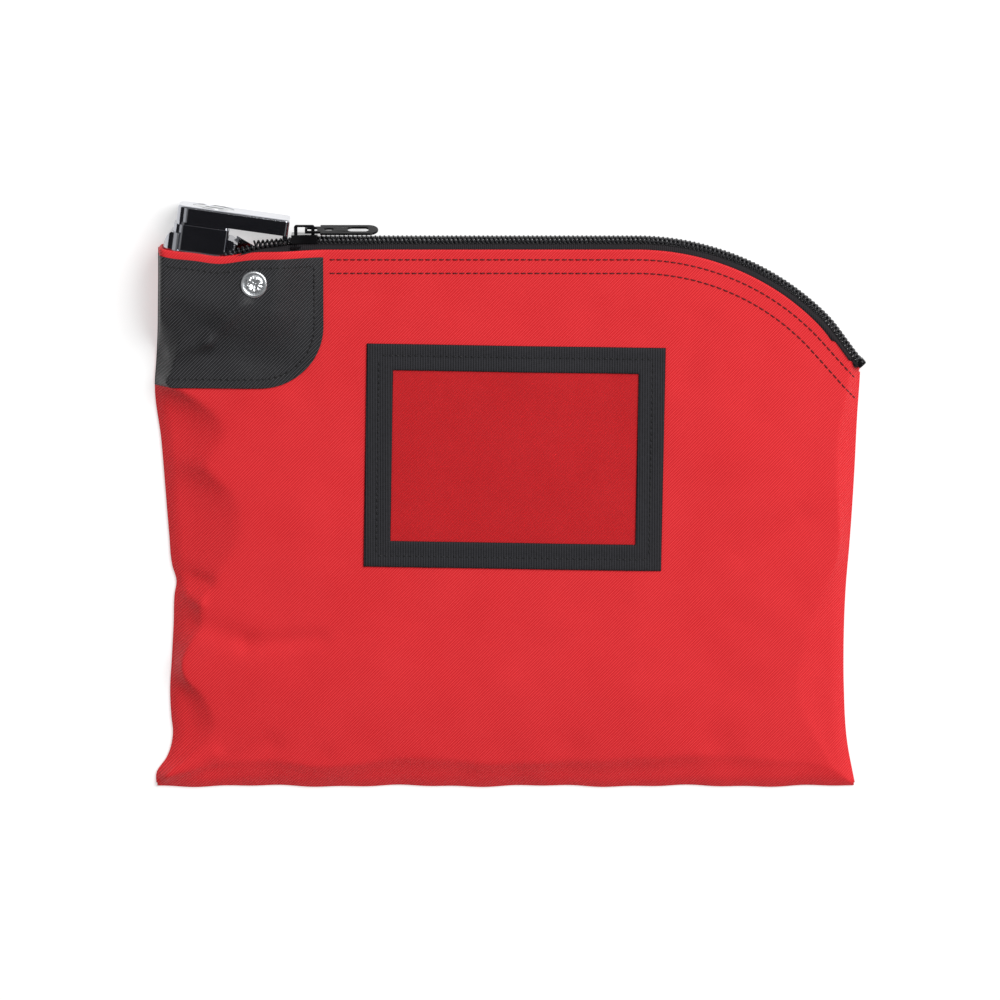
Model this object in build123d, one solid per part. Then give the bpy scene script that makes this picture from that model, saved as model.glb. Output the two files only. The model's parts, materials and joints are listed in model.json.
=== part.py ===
"""Locking cash deposit bag, lying flat on its back panel.

Units are millimetres. +X runs along the bag's width, +Y from the bottom seam to the zippered mouth,
and +Z from the table up through the bag. The origin is the centre of the back panel's underside.
A pop-up cylinder lock sits in the mouth's left corner, and a coil zipper closes the rest of the mouth.
The lock is designed in its own frame: x along the lock's width, y along the push direction (up is out
of the bag), z through its depth, with its origin on the key cylinder's axis.
"""

import math
import os

from build123d import *

# --- Bag -------------------------------------------------------------------------------------
HALF_WIDTH = 139.7  # half of the 11 inch width
BOTTOM_Y = -109.2  # bottom seam
MOUTH_Y = 106.7  # fabric edge of the mouth, along its straight stretch
SIDE_PULL = 5.6  # how far a puffed bag's sides draw in at mid height
CURVE_X = 50.0  # where the mouth's straight stretch ends
CURVE_R = 103.0  # radius of the mouth's curved corner
CURVE_TURN = 48.5  # degrees that the mouth turns through before its last straight stretch
MOUTH_END_X = 139.3
FABRIC = 0.7  # laminated nylon, one layer
BACK_T = 1.45  # back panel with its lining
GAP = 0.05  # between layers that are sewn together
PUFF_LEVELS = [(BACK_T, 0.0), (7.0, 4.0), (11.4, 16.0), (14.0, 42.0)]  # outer height, inset from the seam
FRONT_Z = PUFF_LEVELS[-1][0]
SEAM_TAPE_W, SEAM_TAPE_T, SEAM_TAPE_INSET = 6.0, 1.1, 5.5

# --- Corner patch ----------------------------------------------------------------------------
PATCH_RIGHT = -73.3
PATCH_TOP, PATCH_BOTTOM = 103.2, 52.0
PATCH_CORNER_R = 25.0

# --- Card window -----------------------------------------------------------------------------
WINDOW_CENTRE = (2.3, 24.3)
WINDOW_SIZE = (118.6, 89.5)
WINDOW_TURN = -1.0  # degrees, sewn on slightly askew
WINDOW_TAPE_W, WINDOW_TAPE_T, PANE_T = 10.6, 0.6, 0.3

# --- Zipper ----------------------------------------------------------------------------------
ZIP_Z = 8.0  # middle of the chain above the table
TAPE_T = 0.5
TAPE_Y = 2.6  # top of the tape's web above the mouth line
TAPE_DEPTH = 9.5  # how far the tape reaches down inside the mouth
COIL_W, COIL_T = 3.3, 2.6  # one half of the chain
CHAIN_GAP = 0.1
CHAIN_SHORT = 5.5  # how far the chain stops short of the mouth's end  # half of the clearance between the meshed halves
CURVE_LAP = 0.4  # the straight stretch runs this far into the leaning one
TAPE_FRONT_Z = FRONT_Z - FABRIC - GAP  # outer face of the front tape
TAPE_BACK_Z = BACK_T + GAP
OPEN_X = -83.0  # left of this the two halves part, around the lock
OPEN_END_X = {"front": -106.5, "back": -101.0}
OPEN_STEP = 1.2  # how far each half has moved apart at the slider's nose
OPEN_T = 1.2  # height of the parted halves
TAPE_SPLIT_X = -80.0  # where the tapes' webs start to part
OPEN_RISE = {"front": 7.0, "back": -2.2}  # and at its end
CURVE_DROP = 2.7  # degrees that the curved end leans down to the seam

SLIDER_NOSE_X, SLIDER_REAR_X, SLIDER_FLARE_X = -86.0, -75.7, -81.0
SLIDER_REAR_HALF, SLIDER_NOSE_HALF = 4.4, 5.6
SLIDER_WALL = 0.7
BLADE_LOW = (0.6, 1.7)  # lower blade, above the mouth line
BLADE_HIGH = (5.55, 6.35)  # upper blade
CROWN_TOP, CROWN_T, CROWN_HALF = 9.9, 0.9, 0.7
CROWN_FRONT_X, CROWN_REAR_X, CROWN_LEG = -85.0, -76.8, 1.4

PULL_PIVOT = (-80.2, 114.5)
PULL_ROLL = 20.0  # degrees that the pull leans about its own length
PULL_LENGTH, PULL_HALF, PULL_T = 28.6, 3.9, 0.9
RING_HALF, RING_HOLE_HALF = 2.4, 1.4

# --- Lock, in its own frame ------------------------------------------------------------------
LOCK_ORIGIN = (-118.0, 114.6, 11.1)
LOCK_TURN = -8.0
HOUSING_HALF_D = 9.5
HOUSING_LEFT, HOUSING_RIGHT = -17.5, 11.5
HOUSING_BOTTOM, HOUSING_TOP = -28.0, -1.6
FLOOR_Y = -26.0
FRONT_WALL_TOP = -8.5
RIVET_BLOCK = (11.5, 29.0, -24.0, -12.0)  # left, right, bottom, top
RIVET_AT = (19.75, -18.4)
PLUNGER = (-14.5, 7.5, -21.5, 1.7)  # left, right, bottom, top
PLUNGER_HALF_D = 8.0
PLUNGER_LEFT_R, PLUNGER_RIGHT_R = 4.0, 1.2
NECK_INSET = 1.2  # the plunger's top step, inside its left side
PLUNGER_CLEARANCE = 0.1
HEAD = (-13.8, 30.7, 3.0, 9.4)
HEAD_HALF_D = 9.5
HEAD_LEFT_R, HEAD_RIGHT_R = 4.5, 1.6
HEAD_EDGE_R = 0.9
LIP_W, LIP_DROP = 2.0, 1.6
PRESS_TRAVEL = 4.0
COLLAR_R, SHELL_R, PLUG_R = 8.2, 7.0, 5.5
SHELL_BOTTOM = -14.0
BIBLE_LEFT, BIBLE_HALF = -13.2, 2.6
PIN_R, PIN_COUNT, PIN_PITCH, PIN_FIRST_Y = 1.0, 7, 2.1, 1.5
KEY_PIN_LENGTHS = [2.6, 3.2, 2.3, 3.0, 2.5, 3.3, 2.8]
DRIVER_LENGTH, SPRING_LENGTH = 3.3, 3.5
BOLT_Y = (-19.6, -17.2)
BOLT_HALF, BOLT_LEFT, BOLT_RIGHT = 2.4, -6.0, 9.6
BOLT_TRAVEL = 1.6
CAM_PIN_R = 0.7
CAM_CLEARANCE = 0.3
STOP_PIN_AT = (-10.0, -13.5)
RIVET_R, RIVET_HEAD_R = 2.5, 5.2


def place_lock(shape):
    """Carries a shape from the lock's own frame to the bag's."""
    return Location(LOCK_ORIGIN) * Rotation(0, 0, LOCK_TURN) * shape


def box(x0, x1, y0, y1, z0, z1):
    return Pos((x0 + x1) / 2, (y0 + y1) / 2, (z0 + z1) / 2) * Box(x1 - x0, y1 - y0, z1 - z0)


def prism(face, z0, z1):
    """A plan outline raised from z0 to z1."""
    return Pos(0, 0, z0) * extrude(face, z1 - z0, dir=(0, 0, 1))


def rod_y(x, z, r, y0, y1):
    """A rod along Y."""
    return Pos(x, (y0 + y1) / 2, z) * Rotation(90, 0, 0) * Cylinder(r, y1 - y0)


def rod_x(y, z, r, x0, x1):
    return Pos((x0 + x1) / 2, y, z) * Rotation(0, 90, 0) * Cylinder(r, x1 - x0)


def rod_z(x, y, r, z0, z1):
    return Pos(x, y, (z0 + z1) / 2) * Cylinder(r, z1 - z0)


def xz_prism(points, y0, y1):
    """A polygon given as (x, z) points, drawn out along Y."""
    face = make_face(Polyline(*[(x, y0, z) for x, z in points], close=True))
    return extrude(face, y1 - y0, dir=(0, 1, 0))


def coil_spring(radius, wire_r, height, turns):
    """A compression spring that stands on Z = 0."""
    path = Helix(height / turns, height, radius)
    section = (path ^ 0) * Circle(wire_r)
    return sweep(section, path=path)


# --- Mouth path ------------------------------------------------------------------------------
def mouth_points(offset, end_offset=0.0):
    """Start and end of the mouth's curve and of its last stretch, moved outward by offset."""
    turn = math.radians(CURVE_TURN)
    radius = CURVE_R + offset
    centre_y = MOUTH_Y - CURVE_R
    arc_end = (CURVE_X + radius * math.sin(turn), centre_y + radius * math.cos(turn))
    middle = (CURVE_X + radius * math.sin(turn / 2), centre_y + radius * math.cos(turn / 2))
    base_end = CURVE_X + CURVE_R * math.sin(turn)
    run = (MOUTH_END_X - base_end) / math.cos(turn) - end_offset
    last = (arc_end[0] + run * math.cos(turn), arc_end[1] - run * math.sin(turn))
    return (CURVE_X, MOUTH_Y + offset), middle, arc_end, last


def ribbon_curve(low, high, end_offset):
    """Plan face between two offsets of the mouth line, from the curve's start to the zipper's end."""
    a0, am, a1, a2 = mouth_points(high, end_offset)
    b0, bm, b1, b2 = mouth_points(low, end_offset)
    edges = [
        ThreePointArc(a0, am, a1),
        Line(a1, a2),
        Line(a2, b2),
        Line(b2, b1),
        ThreePointArc(b1, bm, b0),
        Line(b0, a0),
    ]
    return make_face(edges)


def mouth_ribbon(low, high, z0, z1, start_x=OPEN_X, end_offset=CHAIN_SHORT):
    """A strip along the mouth, level along the straight stretch and leaning down round the curve."""
    straight = box(start_x, CURVE_X + CURVE_LAP, MOUTH_Y + low, MOUTH_Y + high, z0, z1)
    curved = prism(ribbon_curve(low, high, end_offset), z0, z1)
    hinge = Pos(CURVE_X, 0, ZIP_Z)
    curved = hinge * Rotation(0, CURVE_DROP, 0) * hinge.inverse() * curved
    return straight + curved


# --- Panels ----------------------------------------------------------------------------------
def side_arcs(top_y):
    """The two drawn-in side seams, up to top_y, as (right edge, left edge)."""
    middle = (BOTTOM_Y + MOUTH_Y) / 2 - 25
    right = ThreePointArc(
        (HALF_WIDTH, BOTTOM_Y), (HALF_WIDTH - SIDE_PULL, middle), (HALF_WIDTH, 2 * middle - BOTTOM_Y)
    )
    left = ThreePointArc(
        (-HALF_WIDTH, 2 * middle - BOTTOM_Y), (-HALF_WIDTH + SIDE_PULL, middle), (-HALF_WIDTH, BOTTOM_Y)
    )
    up_right = Line((HALF_WIDTH, 2 * middle - BOTTOM_Y), (HALF_WIDTH, top_y))
    up_left = Line((-HALF_WIDTH, top_y), (-HALF_WIDTH, 2 * middle - BOTTOM_Y))
    return [right, up_right], [up_left, left]


def tall_outline():
    """The bag's plan, carried on past the mouth so that only the seams taper."""
    top_y = 220.0
    right, left = side_arcs(top_y)
    bottom = Line((-HALF_WIDTH, BOTTOM_Y), (HALF_WIDTH, BOTTOM_Y))
    top = Line((HALF_WIDTH, top_y), (-HALF_WIDTH, top_y))
    return make_face([bottom, *right, top, *left])


def below_mouth(offset):
    """Everything on the bag's side of the mouth line."""
    start, middle, arc_end, last = mouth_points(offset)
    far = 400.0
    turn = math.radians(CURVE_TURN)
    beyond = (arc_end[0] + far * math.cos(turn), arc_end[1] - far * math.sin(turn))
    edges = [
        Line((-far, start[1]), start),
        ThreePointArc(start, middle, arc_end),
        Line(arc_end, beyond),
        Line(beyond, (beyond[0], -far)),
        Line((beyond[0], -far), (-far, -far)),
        Line((-far, -far), (-far, start[1])),
    ]
    return make_face(edges)


def puffed(levels):
    """A pillow form: the plan drawn in step by step as it rises."""
    outline = tall_outline()
    rings = [
        Pos(0, 0, z) * (offset(outline, -inset, kind=Kind.INTERSECTION) if inset else outline)
        for z, inset in levels
    ]
    body = None
    for lower, upper in zip(rings, rings[1:]):
        step = loft([lower.faces()[0], upper.faces()[0]], ruled=True)
        body = step if body is None else body + step
    return body


def lock_pocket(grow, top_z):
    """The raised part of the front that the lock's housing fills."""
    low = place_lock(Pos(6.0, -14.0, 0) * Rectangle(49.0 + 2 * grow + 14.0, 32.0 + 2 * grow + 16.0))
    high = place_lock(Pos(6.0, -14.0, 0) * Rectangle(49.0 + 2 * grow, 32.0 + 2 * grow))
    low = Pos(0, 0, BACK_T - LOCK_ORIGIN[2]) * low
    high = Pos(0, 0, top_z - LOCK_ORIGIN[2]) * high
    return loft([low.faces()[0], high.faces()[0]], ruled=True)


def outer_form():
    """Solid form whose top is the outside of the front panel, not yet cut at the mouth."""
    return puffed(PUFF_LEVELS) + trimmed_left(lock_pocket(FABRIC, POCKET_Z), 0.0)


def inner_form():
    levels = [(z - FABRIC, inset + FABRIC) for z, inset in PUFF_LEVELS]
    pocket = lock_pocket(0.0, POCKET_Z - FABRIC)
    return puffed(levels) + trimmed_left(pocket, FABRIC)


def trimmed_left(shape, inset):
    """Keeps the pocket inside the bag's left edge."""
    return shape & box(-HALF_WIDTH + inset, HALF_WIDTH, BOTTOM_Y, 200.0, 0.0, 60.0)


POCKET_Z = LOCK_ORIGIN[2] + HOUSING_HALF_D + 0.6 + FABRIC


def make_front_panel(outer, inner):
    region = prism(below_mouth(0.0), 0.0, 60.0)
    panel = (outer & region) - inner
    hole = place_lock(rod_z(*RIVET_AT, RIVET_R + GAP, 0, 30))
    return panel - hole


def patch_face(left, grow=0.0):
    """Plan of the corner patch, with its one rounded corner."""
    right, top, bottom = PATCH_RIGHT + grow, PATCH_TOP + grow, PATCH_BOTTOM - grow
    edges = [
        Line((left, bottom), (right - PATCH_CORNER_R, bottom)),
        RadiusArc((right - PATCH_CORNER_R, bottom), (right, bottom + PATCH_CORNER_R), -PATCH_CORNER_R),
        Line((right, bottom + PATCH_CORNER_R), (right, top)),
        Line((right, top), (left, top)),
        Line((left, top), (left, bottom)),
    ]
    return make_face(edges)


def make_back_panel():
    plate = prism(tall_outline(), 0.0, BACK_T) & prism(below_mouth(0.0), -1.0, 60.0)
    recess = prism(patch_face(-HALF_WIDTH - 5.0, GAP), -1.0, FABRIC + GAP)
    hole = place_lock(rod_z(*RIVET_AT, RIVET_R + GAP, -30, 0))
    return plate - recess - hole


def make_corner_patch(outer):
    """One piece of black cloth that wraps the corner from front to back, round the left edge."""
    fold_x = -HALF_WIDTH - FABRIC
    front = (Pos(0, 0, FABRIC) * outer) & prism(patch_face(-HALF_WIDTH), 0.0, 60.0)
    front -= outer
    slab = box(fold_x, -HALF_WIDTH, PATCH_BOTTOM, PATCH_TOP, 0.0, 60.0)
    edge = (Pos(-FABRIC, 0, 0) * outer) & slab
    edge += Pos(0, 0, FABRIC) * edge
    edge += box(fold_x, -HALF_WIDTH, PATCH_BOTTOM, PATCH_TOP, 0.0, BACK_T + FABRIC)
    back = prism(patch_face(fold_x), 0.0, FABRIC)
    hole = place_lock(rod_z(*RIVET_AT, RIVET_R + GAP, 0, 30))
    head_hole = place_lock(rod_z(*RIVET_AT, RIVET_HEAD_R + GAP, -30, 0))
    return (front - hole) + edge + (back - head_hole)


def make_seam_tapes():
    """Binding tape over the raw seam edges, inside the bag: left, right and bottom."""
    inset, width = SEAM_TAPE_INSET, SEAM_TAPE_W
    outline = tall_outline()
    ring = offset(outline, -inset, kind=Kind.INTERSECTION) - offset(
        outline, -inset - width, kind=Kind.INTERSECTION
    )
    band = prism(ring.faces()[0], BACK_T + GAP, BACK_T + GAP + SEAM_TAPE_T)
    corner_y = BOTTOM_Y + inset + width
    corner_x = HALF_WIDTH - inset - width
    return {
        "left_seam_tape": band & box(-200, -corner_x + 5, corner_y + GAP, 78.0, 0, 20),
        "right_seam_tape": band & box(corner_x - 5, 200, corner_y + GAP, 44.0, 0, 20),
        "bottom_seam_tape": band & box(-200, 200, BOTTOM_Y, corner_y, 0, 20),
    }


# --- Card window -----------------------------------------------------------------------------
def make_window():
    """Clear pane under four lengths of black tape with mitred corners."""
    place = Pos(*WINDOW_CENTRE, FRONT_Z + GAP) * Rotation(0, 0, WINDOW_TURN)
    half_x, half_y = WINDOW_SIZE[0] / 2, WINDOW_SIZE[1] / 2
    w = WINDOW_TAPE_W
    pane = box(-half_x + 2, half_x - 2, -half_y + 2, half_y - 2, 0, PANE_T)
    low, high = PANE_T + GAP, PANE_T + GAP + WINDOW_TAPE_T
    miter = GAP
    horizontal = [
        (-half_x + miter, half_y),
        (half_x - miter, half_y),
        (half_x - w - miter, half_y - w),
        (-half_x + w + miter, half_y - w),
    ]
    upright = [
        (-half_x, half_y - miter),
        (-half_x, -half_y + miter),
        (-half_x + w, -half_y + w + miter),
        (-half_x + w, half_y - w - miter),
    ]
    corners = {
        "window_tape_top": horizontal,
        "window_tape_bottom": [(x, -y) for x, y in horizontal],
        "window_tape_left": upright,
        "window_tape_right": [(-x, y) for x, y in upright],
    }
    made = {
        name: place * prism(make_face(Polyline(*points, close=True)), low, high)
        for name, points in corners.items()
    }
    made["window_pane"] = place * pane
    return made


# --- Zipper ----------------------------------------------------------------------------------
def tape_web(side, near_z, outer_z, end_z):
    """The part of a tape's web beside the lock, where the two halves stand apart."""
    web = [(TAPE_SPLIT_X, near_z), (TAPE_SPLIT_X, outer_z), *end_z]
    return xz_prism(web, MOUTH_Y + TAPE_Y - TAPE_T, MOUTH_Y + TAPE_Y)


def make_tapes(inner):
    """The two zipper tapes: a leg sewn inside the mouth and a web that turns in to the coil."""
    web_low, split = TAPE_Y - TAPE_T, TAPE_SPLIT_X
    coil_z = COIL_W - 1.2
    front = mouth_ribbon(-TAPE_DEPTH, TAPE_Y, TAPE_FRONT_Z - TAPE_T, TAPE_FRONT_Z, start_x=split)
    front += mouth_ribbon(web_low, TAPE_Y, ZIP_Z + coil_z, TAPE_FRONT_Z, start_x=split)
    # the stretch that climbs over the lock
    high = POCKET_Z - FABRIC - GAP
    climb_x, end_x = split - (high - TAPE_FRONT_Z), OPEN_END_X["front"]
    climb = [(climb_x, high), (end_x, high), (end_x, high - TAPE_T), (climb_x, high - TAPE_T)]
    climb = [(split, TAPE_FRONT_Z - TAPE_T), (split, TAPE_FRONT_Z), *climb]
    front += xz_prism(climb, MOUTH_Y - 4.0, MOUTH_Y + TAPE_Y)
    front += tape_web(1, ZIP_Z + coil_z, TAPE_FRONT_Z, [(climb_x, high), (end_x, high), (end_x, high - 3.6)])
    outside = prism(below_mouth(GAP), 0.0, 60.0) - Pos(0, 0, -GAP) * inner
    front = (front - outside).solids().sort_by(SortBy.VOLUME)[-1]

    end_x = OPEN_END_X["back"]
    back = box(split, CURVE_X, MOUTH_Y - TAPE_DEPTH, MOUTH_Y + TAPE_Y, TAPE_BACK_Z, TAPE_BACK_Z + TAPE_T)
    back += prism(ribbon_curve(-TAPE_DEPTH, TAPE_Y - TAPE_T, CHAIN_SHORT), TAPE_BACK_Z, TAPE_BACK_Z + TAPE_T)
    web = mouth_ribbon(web_low, TAPE_Y, -5.0, ZIP_Z - coil_z, start_x=split)
    back += web - box(-200, 200, -200, 200, -20.0, TAPE_BACK_Z)
    back += tape_web(
        -1, ZIP_Z - coil_z, TAPE_BACK_Z, [(end_x, TAPE_BACK_Z), (end_x, TAPE_BACK_Z + 1.6)]
    )
    back = (back - outside).solids().sort_by(SortBy.VOLUME)[-1]
    return {"zipper_tape_front": front, "zipper_tape_back": back}


def make_coils():
    """Each half of the chain as a plain bar, closed along the mouth and parted beside the lock."""
    low, high = TAPE_Y + GAP, TAPE_Y + GAP + COIL_T
    made = {}
    for name, side in (("front", 1), ("back", -1)):
        near, far = ZIP_Z + side * CHAIN_GAP, ZIP_Z + side * (CHAIN_GAP + COIL_W)
        bar = mouth_ribbon(low, high, min(near, far), max(near, far))
        step, rise, end_x = side * OPEN_STEP, OPEN_RISE[name], OPEN_END_X[name]
        parted = [
            (OPEN_X, near),
            (SLIDER_NOSE_X, near + step),
            (end_x, near + rise),
            (end_x, far + rise),
            (SLIDER_NOSE_X, far + step),
            (OPEN_X, far),
        ]
        made[f"zipper_coil_{name}"] = bar + xz_prism(parted, MOUTH_Y + low, MOUTH_Y + low + OPEN_T)
    return made


def make_slider():
    """Slider body: two blades joined by the divider at the nose, side flanges, and a crown."""

    def plan(rear, nose, z_mid=ZIP_Z):
        return [
            (SLIDER_REAR_X, z_mid - rear),
            (SLIDER_REAR_X, z_mid + rear),
            (SLIDER_FLARE_X, z_mid + rear),
            (SLIDER_NOSE_X, z_mid + nose),
            (SLIDER_NOSE_X, z_mid - nose),
            (SLIDER_FLARE_X, z_mid - rear),
        ]

    outside = plan(SLIDER_REAR_HALF, SLIDER_NOSE_HALF)
    inside = plan(SLIDER_REAR_HALF - SLIDER_WALL, SLIDER_NOSE_HALF - SLIDER_WALL)
    low, high = [MOUTH_Y + y for y in BLADE_LOW], [MOUTH_Y + y for y in BLADE_HIGH]
    slot_low, slot_high = MOUTH_Y + TAPE_Y - TAPE_T - 0.25, MOUTH_Y + TAPE_Y + 0.3
    rim = xz_prism(outside, low[0], high[1]) - xz_prism(inside, low[0], high[1])
    rim -= box(-100, -60, slot_low, slot_high, -10, 30)
    rim -= box(SLIDER_REAR_X - 1.0, -60, low[1], high[0], ZIP_Z - 3.7, ZIP_Z + 3.7)
    rim -= box(-100, SLIDER_NOSE_X + 0.8, low[1], high[0], ZIP_Z - 4.9, ZIP_Z + 4.9)
    blades = xz_prism(outside, *low) + xz_prism(outside, *high)
    post = box(SLIDER_NOSE_X + 0.3, SLIDER_NOSE_X + 1.3, low[1], high[0], ZIP_Z - 0.4, ZIP_Z + 0.4)
    top, z0, z1 = MOUTH_Y + CROWN_TOP, ZIP_Z - CROWN_HALF, ZIP_Z + CROWN_HALF
    crown = box(CROWN_FRONT_X, CROWN_REAR_X, high[1], top, z0, z1)
    crown -= box(CROWN_FRONT_X + CROWN_LEG, CROWN_REAR_X - CROWN_LEG, high[1], top - CROWN_T, z0, z1)
    crown = fillet(crown.edges().filter_by(Axis.Z).group_by(Axis.Y)[-1], 1.0)
    return rim + blades + post + crown


def make_pull():
    """Pull tab with the ring end that hangs in the crown and a long finger slot."""
    ring = Pos(2.6, 0) * Rectangle(6.2, 2 * RING_HALF) - Pos(2.45, 0) * Rectangle(3.9, 2 * RING_HOLE_HALF)
    bar_end = PULL_LENGTH - PULL_HALF
    plate = Pos((5.6 + bar_end) / 2, 0) * Rectangle(bar_end - 5.6, 2 * PULL_HALF)
    plate += Pos(bar_end, 0) * Circle(PULL_HALF)
    plate -= Pos(20.6, 0) * SlotOverall(8.4, 3.6)
    plate -= Pos(9.0, 0) * SlotOverall(3.6, 1.6)
    tab = extrude(ring + plate, PULL_T / 2, both=True)
    tab = Rotation(-90, 0, 0) * tab  # the plate's width now runs along Z
    return Pos(*PULL_PIVOT, ZIP_Z) * Rotation(PULL_ROLL, 0, 0) * tab


def make_end_stop():
    """Metal stop clamped over the chain where it runs out at the right seam."""
    angle = -CURVE_TURN
    _, _, _, last = mouth_points(TAPE_Y + COIL_T / 2, CHAIN_SHORT)
    hinge = Pos(CURVE_X, 0, ZIP_Z)
    block = Pos(last[0], last[1], ZIP_Z) * Rotation(0, 0, angle) * Box(1.6, 4.2, 7.2)
    block = Pos(1.0 * math.cos(math.radians(angle)), 1.0 * math.sin(math.radians(angle)), 0) * block
    return hinge * Rotation(0, CURVE_DROP, 0) * hinge.inverse() * block


# --- Lock ------------------------------------------------------------------------------------
def rounded_plan(left, right, half_d, left_r, right_r, y0, y1):
    """A block seen along the push direction, with different corner radii at its two ends."""
    block = box(left, right, y0, y1, -half_d, half_d)
    uprights = block.edges().filter_by(Axis.Y)
    block = fillet(uprights.group_by(Axis.X)[0], left_r)
    return fillet(block.edges().filter_by(Axis.Y).group_by(Axis.X)[-1], right_r)


def make_housing():
    """Die-cast case: a shaft for the plunger, a block for the rivet and the slider's channel."""
    shoulder = [
        Line((-15.9, HOUSING_BOTTOM), (HOUSING_LEFT, -9.0)),
        ThreePointArc((HOUSING_LEFT, -9.0), (-17.0, -4.6), (-15.2, HOUSING_TOP)),
        Line((-15.2, HOUSING_TOP), (8.6, HOUSING_TOP)),
        Line((8.6, HOUSING_TOP), (HOUSING_RIGHT, -3.2)),
        Line((HOUSING_RIGHT, -3.2), (HOUSING_RIGHT, HOUSING_BOTTOM)),
        Line((HOUSING_RIGHT, HOUSING_BOTTOM), (-15.9, HOUSING_BOTTOM)),
    ]
    profile = extrude(make_face(shoulder), HOUSING_HALF_D, both=True)
    tower = profile & rounded_plan(
        HOUSING_LEFT, HOUSING_RIGHT, HOUSING_HALF_D, 6.0, 1.5, HOUSING_BOTTOM, HOUSING_TOP
    )
    left, right, bottom, top = RIVET_BLOCK
    half = HOUSING_HALF_D
    block = box(left - 1.0, right, bottom, top, -half, half)
    block = fillet(block.edges().filter_by(Axis.Z).group_by(Axis.X)[-1], 2.0)
    back_wall = extrude(
        make_face(Polyline((10.5, top), (25.0, top), (25.0, -7.5), (10.5, -1.5), close=True)), 1.4
    )
    back_wall = Pos(0, 0, -half) * back_wall
    case = tower + block + back_wall
    c = PLUNGER_CLEARANCE
    cavity = rounded_plan(
        PLUNGER[0] - c, PLUNGER[1] + c, PLUNGER_HALF_D + c, PLUNGER_LEFT_R + c, PLUNGER_RIGHT_R + c,
        FLOOR_Y, HOUSING_TOP + 1,
    )
    front_cut = box(PLUNGER[0] + 2.6, PLUNGER[1] + c, FRONT_WALL_TOP, HOUSING_TOP + 1, 0, half + 1)
    bolt_slot = box(
        PLUNGER[1], HOUSING_RIGHT - 0.8, BOLT_Y[0] - PRESS_TRAVEL - 0.4, BOLT_Y[1] + 0.4,
        -BOLT_HALF - 0.2, BOLT_HALF + 0.2,
    )
    groove = box(9.2, 10.2, -8.0, 1.0, half - 0.7, half + 1)
    rivet_hole = rod_z(*RIVET_AT, RIVET_R + GAP, -half - 1, half + 1)
    stop_hole = rod_z(*STOP_PIN_AT, 1.0 + 0.01, -half - 1, -PLUNGER_HALF_D)
    return case - cavity - front_cut - bolt_slot - groove - rivet_hole - stop_hole


def make_plunger():
    left, right, bottom, top = PLUNGER
    body = rounded_plan(left, right, PLUNGER_HALF_D, PLUNGER_LEFT_R, PLUNGER_RIGHT_R, bottom, top)
    body += rounded_plan(left + NECK_INSET, right - 0.6, PLUNGER_HALF_D - 0.5, 3.0, 0.8, top, HEAD[2])
    body -= rod_y(0, 0, SHELL_R + 0.03, SHELL_BOTTOM - 0.05, HEAD[2] + 1)
    body -= box(BIBLE_LEFT - 0.05, 0, SHELL_BOTTOM - 0.05, HEAD[2] + 1, -BIBLE_HALF - 0.05, BIBLE_HALF + 0.05)
    body -= rod_y(0, 0, 4.4, BOLT_Y[1], SHELL_BOTTOM)
    body -= box(
        -11.6, right + 1, BOLT_Y[0] - 0.1, BOLT_Y[1] + 0.1, -BOLT_HALF - 0.1, BOLT_HALF + 0.1
    )
    body -= rod_y(0, 0, 3.6, bottom - 1, BOLT_Y[0] - 0.6)
    x, y = STOP_PIN_AT
    body -= box(x - 1.15, x + 1.15, y - 1.1, y + PRESS_TRAVEL + 1.1, -PLUNGER_HALF_D - 1, -6.6)
    for z in (-5.6, 5.6):
        body -= rod_y(-11.2, z, 1.0 + 0.01, -6.0, HEAD[2] + 1)
    return body


def make_head():
    """The cap that is pressed down. Its arm reaches over the slider, with a lip at its end."""
    left, right, bottom, top = HEAD
    cap = rounded_plan(left, right, HEAD_HALF_D, HEAD_LEFT_R, HEAD_RIGHT_R, bottom, top)
    cap = fillet(cap.edges().group_by(Axis.Y)[-1], HEAD_EDGE_R)
    lip = box(right - LIP_W, right, bottom - LIP_DROP, bottom + 1.0, -HEAD_HALF_D + 1.6, HEAD_HALF_D - 1.6)
    cap += lip
    cap -= box(12.0, right - LIP_W, bottom - 1, bottom + 4.4, -6.6, 6.6)
    cap -= rod_y(0, 0, COLLAR_R + 0.03, bottom - 1, top + 1)
    for z in (-5.6, 5.6):
        cap -= rod_y(-11.2, z, 1.0 + 0.01, bottom - 1, bottom + 4.0)
    return cap


def pin_levels():
    return [PIN_FIRST_Y - i * PIN_PITCH for i in range(PIN_COUNT)]


def make_shell():
    """Fixed barrel of the key cylinder, with the chambers that hold the upper pins and springs."""
    bottom, top = SHELL_BOTTOM, HEAD[3] - 0.15
    shell = rod_y(0, 0, SHELL_R, bottom, HEAD[2])
    shell += rod_y(0, 0, COLLAR_R, HEAD[2], top)
    shell += box(BIBLE_LEFT, 0, bottom, HEAD[2], -BIBLE_HALF, BIBLE_HALF)
    shell -= rod_y(0, 0, PLUG_R + 0.05, bottom - 1, top + 1)
    for y in pin_levels():
        shell -= rod_x(y, 0, PIN_R + 0.03, BIBLE_LEFT + 0.55, 0)
    return shell - box(BIBLE_LEFT - 1, BIBLE_LEFT + 0.55, bottom, HEAD[2], -BIBLE_HALF + 0.6, BIBLE_HALF - 0.6)


def make_plug():
    """The part that the key turns, with its keyway and the lower pin holes."""
    top = HEAD[3] - 0.05
    plug = rod_y(0, 0, PLUG_R, SHELL_BOTTOM + CAM_CLEARANCE, top)
    plug -= box(-3.2, 4.0, SHELL_BOTTOM + 1.5, top + 1, -1.1, 1.1)
    for y in pin_levels():
        plug -= rod_x(y, 0, PIN_R + 0.03, -PLUG_R - 1, 0)
    return plug


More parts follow.
